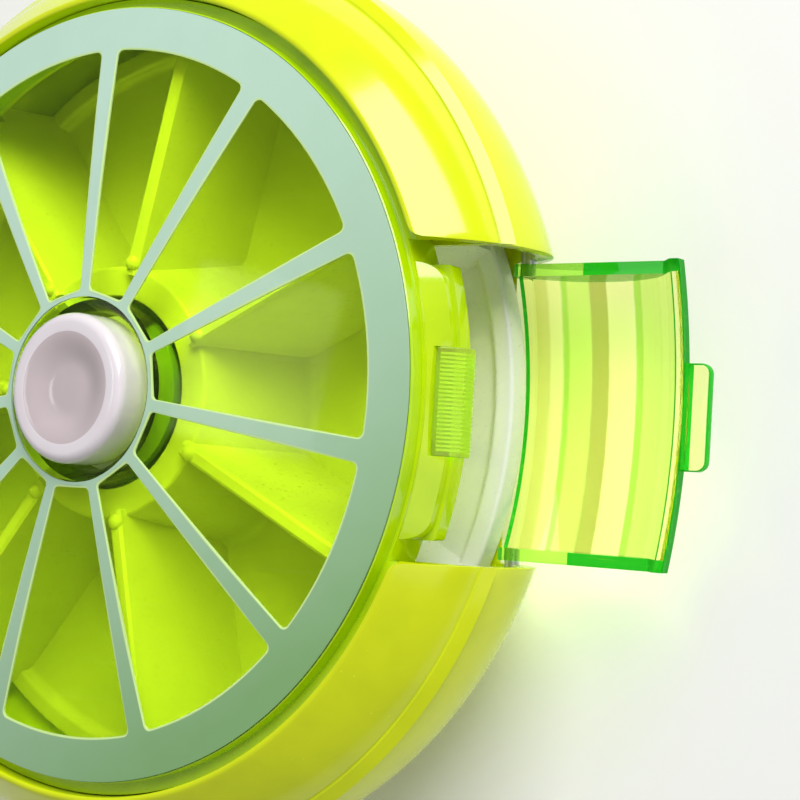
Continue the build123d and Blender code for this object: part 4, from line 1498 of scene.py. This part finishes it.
@dataclass
class Button:
    """Press button: skirt, rounded rim and dished top, in millimetres."""

    wall: float = 1.1
    foot: float = 0.12
    rim: float = 0.95
    rim_step: int = 9
    flat: float = 1.2
    dish: float = 0.8
    dish_steps: int = 24
    dish_spread: float = 1.6
    dish_zone: float = 0.97
    axis_r: float = 0.02
    turn_steps: int = 160
    sharp: float = 40.0

    def build(self, finishes: Finishes) -> None:
        """Make the button.

        Args:
            finishes: the organizer's materials.
        """
        low, high = node_box("button_cap")
        radius, top, bottom = high.x, high.z, low.z
        under, inner = top - self.wall - self.dish, radius - self.wall
        crown = [(radius - self.rim + self.rim * sin(a), top - self.rim + self.rim * cos(a))
                 for a in (radians(turn) for turn in range(90, -1, -self.rim_step))]
        bowl_r, count = radius - self.rim - self.flat / 2, self.dish_steps
        bowl = [(bowl_r * (1 - k / count),
                 top - self.dish * (0.5 - 0.5 * cos(pi * min(1.0, self.dish_spread * k / count))))
                for k in range(1, count)]
        outline = [(radius - self.foot, bottom), (radius, bottom + self.foot), *crown,
                   (bowl_r, top), *bowl, (self.axis_r, top - self.dish), (self.axis_r, under),
                   (inner, under), (inner, bottom)]
        cap = lathe("button_cap_skin", outline, self.turn_steps, sharp=self.sharp)
        # Faces in the dish's hollow take the darker finish, painted shade.
        for face in cap.data.polygons:
            middle = face.center / MM
            dished = hypot(*middle.xy) < bowl_r * self.dish_zone and middle.z > under
            face.material_index = (CapPart.DISH if dished else CapPart.BODY).value
        dress(cap, "button", "button_white", ("button_cap",), finishes.button, finishes.dish)


@dataclass
class FlapDoor:
    """The transparent flap, made shut and then swung down to its open place, in millimetres.

    Attributes:
        slanted: share of a tab face's normal past which it is an edge.
        inward: outward share of a web face's normal below which it is its free edge.
        steep: share along Y of an end face's normal.
        level: share along Z of a top or bottom face's normal.
    """

    lines: CasingLines
    hinge_x: float
    hinge_z: float
    half: float
    wall: float = 1.35
    steps: int = 48
    rim: float = 1.1
    rim_round: tuple[Point, ...] = ((0.16, -0.14), (-0.05, 0.0))
    rim_cut: float = 0.1
    rim_clear: float = 0.3
    rim_zone: float = 0.12
    rim_line: float = 0.35
    crease: float = 0.09
    skirt: float = 0.7
    foot_gap: float = 2.6
    foot_z: float = 9.0
    cheek: float = 1.1
    cheek_inset: float = 0.5
    cheek_clear: float = 0.2
    set_back: float = 1.0
    lean: float = 0.4
    knuckle: float = 1.35
    knuckle_steps: int = 32
    tab_half: float = 4.6
    tab_reach: float = 2.3
    tab_foot: float = 0.9
    tab_corner: float = 0.9
    tab_inset: float = 0.02
    tab_wall: float = 1.0
    tab_round: float = 0.25
    web_x: float = 39.0
    web_r: float = 41.0
    web_h: float = 0.4
    web_zone: float = 0.1
    web_steps: int = 24
    green_z: float = 13.9
    slanted: float = 0.3
    inward: float = -0.5
    steep: float = 0.8
    level: float = 0.95
    open_turn: float = 90.0
    sharp: float = 30.0

    @property
    def low(self) -> float:
        """Height of the shut flap's lowest face."""
        return self.hinge_z - self.skirt

    @property
    def rim_in(self) -> float:
        """Radius of the rim's upright inner face."""
        return self.lines.lip_r - self.rim

    @property
    def rim_foot(self) -> float:
        """Height where the sloped inner face meets the rim's upright inner face."""
        run = self.rim_in - self.lines.slope_r(self.wall, self.lines.lip_z)
        return self.lines.lip_z - run * tan(radians(self.lines.shoulder_slope))

    def wall_outline(self) -> Outline:
        """Closed outline of the curved wall, from the skirt by the hinge up to the rim.

        Returns:
            The outline, in radius and height.
        """
        top, rim_in, meet = self.lines.lip_z, self.rim_in, self.rim_foot
        foot_in = node_box("compartment_tray")[1].x + self.foot_gap
        *outer, (end_r, _) = self.lines.side(0.0, self.low, top)
        rim = [(end_r + r, top + z) for r, z in self.rim_round]
        rim += [(rim_in + self.rim_cut, top), (rim_in, top - self.rim_cut)]
        crease = [(rim_in, meet + self.crease), (rim_in + self.crease, meet - self.crease)]
        inner = [(r, z) for r, z in self.lines.side(self.wall, self.low, top)
                 if r > rim_in + self.rim_clear and (r > foot_in or z > self.foot_z)]
        return outer + rim + crease + inner[::-1] + [(foot_in, self.low)]

    def web_piece(self) -> bpy.types.Object:
        """Thin web at the hinge side, whose free edge bows outwards between the cheeks.

        Returns:
            The web.
        """
        bow = self.web_x - (self.hinge_x - self.set_back)
        bend = (self.half ** 2 + bow ** 2) / (2 * bow)
        shares = [k / self.web_steps for k in range(self.web_steps + 1)]
        free = [(self.web_x - bend + sqrt(bend ** 2 - y ** 2), y)
                for y in (self.half * (2 * share - 1) for share in shares)]
        fixed = [(sqrt(self.web_r ** 2 - y ** 2), y)
                 for y in (self.half * (1 - 2 * share) for share in shares)]
        return prism("web", free + fixed, self.low, self.low + self.web_h)

    def cheek_piece(self, side: int) -> bpy.types.Object:
        """One end cheek: straight along its back, round at the hinge, following the wall in front.

        Args:
            side: -1 or 1, for its side along Y.

        Returns:
            The cheek.
        """
        back = self.hinge_x - self.set_back
        y_mid = self.half - self.cheek / 2
        front = [(sqrt(r * r - y_mid * y_mid), z)
                 for r, z in self.lines.side(self.cheek_inset, self.low, self.lines.lip_z)]
        front = [(x, z) for x, z in front if x > back - self.lean + self.cheek_clear]
        outline = [(back, self.low)] + front + [(back - self.lean, front[-1][1])]
        ends = sorted((side * (self.half - self.cheek), side * self.half))
        piece = prism("cheek", outline, *ends, Axis.Y)
        turns = [2 * pi * k / self.knuckle_steps for k in range(self.knuckle_steps)]
        knob = [(self.hinge_x + self.knuckle * cos(a), self.hinge_z + self.knuckle * sin(a))
                for a in turns]
        joined(piece, prism("knuckle", knob, *ends, Axis.Y))
        return piece

    def tab_piece(self) -> bpy.types.Object:
        """Finger tab above the rim, with rounded corners.

        Returns:
            The tab.
        """
        half, corner, top = self.tab_half, self.tab_corner, self.lines.lip_z
        foot, tip = top - self.tab_foot, top + self.tab_reach
        face = rounded([(-half, foot, 0.0), (half, foot, 0.0), (half, tip, corner),
                        (-half, tip, corner)], steps=6)
        return prism("tab", face, self.rim_in + self.tab_inset, self.rim_in + self.tab_wall, Axis.X,
                     self.sharp, self.tab_round)

    def part_of(self, face: bpy.types.MeshPolygon) -> FlapPart:
        """Which part of the flap a face belongs to.

        Args:
            face: a face of the shut flap.

        Returns:
            The part.
        """
        # Edge faces take the deep green finish, which paints the dark surroundings refracted in
        # them.
        middle, normal, top = face.center / MM, face.normal, self.lines.lip_z
        r = hypot(middle.x, middle.y)
        outward = normal.dot(Vector((middle.x, middle.y, 0)).normalized())
        past_cheek = abs(middle.y) - (self.half - self.cheek)
        if middle.z > top + self.rim_line:
            on_side = max(abs(normal.y), normal.z) > self.slanted
            return FlapPart.GREEN_EDGE if on_side else FlapPart.PALE
        if middle.z > top - self.rim_zone:
            return FlapPart.GREEN_EDGE
        if past_cheek < 0 and middle.z < self.low + self.web_h + self.web_zone:
            return FlapPart.GREEN_EDGE if outward < self.inward else FlapPart.PALE
        if abs(normal.y) > self.steep or abs(normal.z) > self.level:
            return FlapPart.GREEN_EDGE
        if past_cheek > 0 and outward < 0:
            return FlapPart.LIME_CHEEK if middle.z < self.green_z else FlapPart.GREEN_EDGE
        if abs(r - self.rim_in) < self.crease and abs(middle.z - self.rim_foot) < self.crease:
            return FlapPart.GREEN_EDGE
        if outward > 0 or r < self.rim_in + self.crease:
            return FlapPart.PALE
        return FlapPart.BANDS

    def paint(self, door: bpy.types.Object) -> None:
        """Give the shut flap its band coordinate and each face its part.

        Args:
            door: the shut flap.
        """
        mesh = door.data
        bands = mesh.uv_layers.new(name="bands")
        for loop in mesh.loops:
            _, y, z = mesh.vertices[loop.vertex_index].co / MM
            share = (z - self.low) / (self.lines.lip_z - self.low)
            bands.data[loop.index].uv = (share, y / self.half / 2 + 0.5)
        for face in mesh.polygons:
            face.material_index = self.part_of(face).value

    def build(self, finishes: Finishes) -> None:
        """Make the flap, shut, then swing it open and dress it.

        Args:
            finishes: the organizer's materials.
        """
        door = lathe("flap_door_skin", self.wall_outline(), self.steps, band=self.half)
        for part in (self.cheek_piece(-1), self.cheek_piece(1), self.web_piece(), self.tab_piece()):
            joined(door, part)
        with opened(door.data) as work:
            for level in (self.green_z, self.lines.lip_z + self.rim_line):
                bmesh.ops.bisect_plane(work, geom=work.verts[:] + work.edges[:] + work.faces[:],
                                       plane_co=(0.0, 0.0, level * MM), plane_no=(0.0, 0.0, 1.0))
        whole = finished("flap_door_clear", door.data, self.sharp)
        bpy.data.objects.remove(door)
        self.paint(whole)
        hinge = Matrix.Translation(Vector((self.hinge_x, 0, self.hinge_z)) * MM)
        swing = Matrix.Rotation(radians(self.open_turn), 4, "Y")
        whole.data.transform(hinge @ swing @ hinge.inverted())
        dress(whole, "door", "clear_green", ("flap_door",), finishes.flap, finishes.flap_edge,
              finishes.tab, finishes.cheek)


class Works:
    """The inner pieces, which keep their CAD shapes and get their finishes."""

    def build(self, finishes: Finishes) -> None:
        """Give each remaining CAD node its material.

        Args:
            finishes: the organizer's materials.
        """
        wanted = {
            finishes.steel: ("spindle_screw", "detent_arm", "detent_rivet", "return_spring",
                             "hinge_pins"),
            finishes.inner: ("spring_seat", "spindle", "thrust_washer", "glide_ring",
                             "ratchet_crown", "drive_rotor", "pawl_ring"),
            finishes.button: ("plunger",),
        }
        for finish, nodes in wanted.items():
            for node in nodes:
                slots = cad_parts[node].material_slots
                if not slots:
                    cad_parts[node].data.materials.append(finish)
                for slot in slots:
                    slot.material = finish
                LOG.info("%s finished in %s", node, finish.name)


@dataclass(frozen=True)
class Lamp:
    """Soft square lamp that looks at the object.

    Attributes:
        name: the lamp's name.
        place: its place in metres.
        size: its side in metres.
        power: its power in watts.
    """

    name: str
    place: Place
    size: float
    power: float

    def build(self, target: Place) -> None:
        """Make the lamp and aim it.

        Args:
            target: the place it looks at, in metres.
        """
        data = bpy.data.lights.new(self.name, "AREA")
        data.size = self.size
        data.energy = self.power
        lamp = in_scene(self.name, data)
        lamp.location = self.place
        aim = Vector(target) - Vector(self.place)
        lamp.rotation_euler = aim.to_track_quat("-Z", "Y").to_euler()


@dataclass
class Studio:
    """Floor, lights and camera; the camera's places are in millimetres, the rest in metres."""

    camera_place: Place = (125.8, -8.2, 155.4)
    camera_target: Place = (35.08, -0.15, 23.9)
    camera_roll: float = -82.355
    focal_px: float = 1926.0
    frame_px: float = 800.0
    sensor: float = 36.0
    near: float = 0.005
    floor_z: float = -0.00003
    floor_half: float = 3.0
    floor_roughness: float = 0.6
    floor_tones: tuple[Colour, Colour] = ((0.93, 0.93, 0.93), (0.95, 0.95, 0.94))
    sky: float = 0.31
    lit: Place = (0.0, 0.0, 0.01)
    lamps: tuple[Lamp, ...] = (Lamp("key", (0.37, 0.57, 0.52), 0.6, 7.6),
                               Lamp("fill", (0.60, -0.20, 0.50), 0.5, 0.5),
                               Lamp("window", (-0.357, 0.056, 0.60), 0.12, 0.15))

    def floor(self) -> None:
        """Pale floor, wide enough to fill every view."""
        wiring = new_material("pale_floor")
        grain = wiring.noise(wiring.places["Object"], 40.0, 3.0)
        wiring.fill(wiring.shader, {"Base Color": wiring.blend(grain, *self.floor_tones),
                                    "Roughness": self.floor_roughness})
        mesh = bpy.data.meshes.new("floor")
        far = self.floor_half
        mesh.from_pydata([(x, y, self.floor_z) for x, y in ((-far, -far), (far, -far), (far, far),
                                                            (-far, far))], [], [(0, 1, 2, 3)])
        mesh.materials.append(wiring.material)
        floor = in_scene("floor", mesh)

    def camera(self) -> None:
        """Camera at the photograph's place, with its field of view and roll."""
        data = bpy.data.cameras.new("camera")
        data.sensor_width = self.sensor
        data.lens = self.focal_px * self.sensor / self.frame_px
        data.clip_start = self.near
        camera = in_scene("camera", data)
        place, target = Vector(self.camera_place) * MM, Vector(self.camera_target) * MM
        ahead = (target - place).normalized()
        right = ahead.cross(Vector((0, 0, 1))).normalized()
        level = Matrix((right, right.cross(ahead), -ahead)).transposed().to_4x4()
        camera.matrix_world = (Matrix.Translation(place) @ level
                               @ Matrix.Rotation(radians(self.camera_roll), 4, "Z"))
        bpy.context.scene.camera = camera

    def build(self) -> None:
        """Set the stage."""
        scene = bpy.context.scene
        scene.view_settings.view_transform = "Standard"
        world = bpy.data.worlds.new("studio")
        world.use_nodes = True
        background = world.node_tree.nodes["Background"]
        Wiring(world.node_tree).fill(background, {0: (1.0, 1.0, 1.0, 1.0), 1: self.sky})
        scene.world = world
        self.floor()
        for lamp in self.lamps:
            lamp.build(self.lit)
        self.camera()


def main() -> None:
    """Build every sub-assembly in order and the studio round it."""
    logging.basicConfig(level=logging.INFO, format="%(message)s")
    lip_out, cover_proud = 1.7, 0.1
    finishes = Finishes()
    shell_low, shell_high = node_box("outer_shell")
    cover_r = node_box("clear_cover")[1].x
    pins_low, pins_high = node_box("hinge_pins")
    lines = CasingLines(shell_high.y, cover_r + lip_out, shell_high.z)
    Casing(lines, shell_low.z).build(finishes)
    Collar().build(finishes)
    Cover(cover_r, lines.lip_z + cover_proud).build(finishes)
    Tray().build(finishes)
    Button().build(finishes)
    FlapDoor(lines, (pins_low.x + pins_high.x) / 2, (pins_low.z + pins_high.z) / 2,
             node_box("flap_door")[1].y).build(finishes)
    Works().build(finishes)
    Studio().build()


if __name__ == "__main__":
    main()
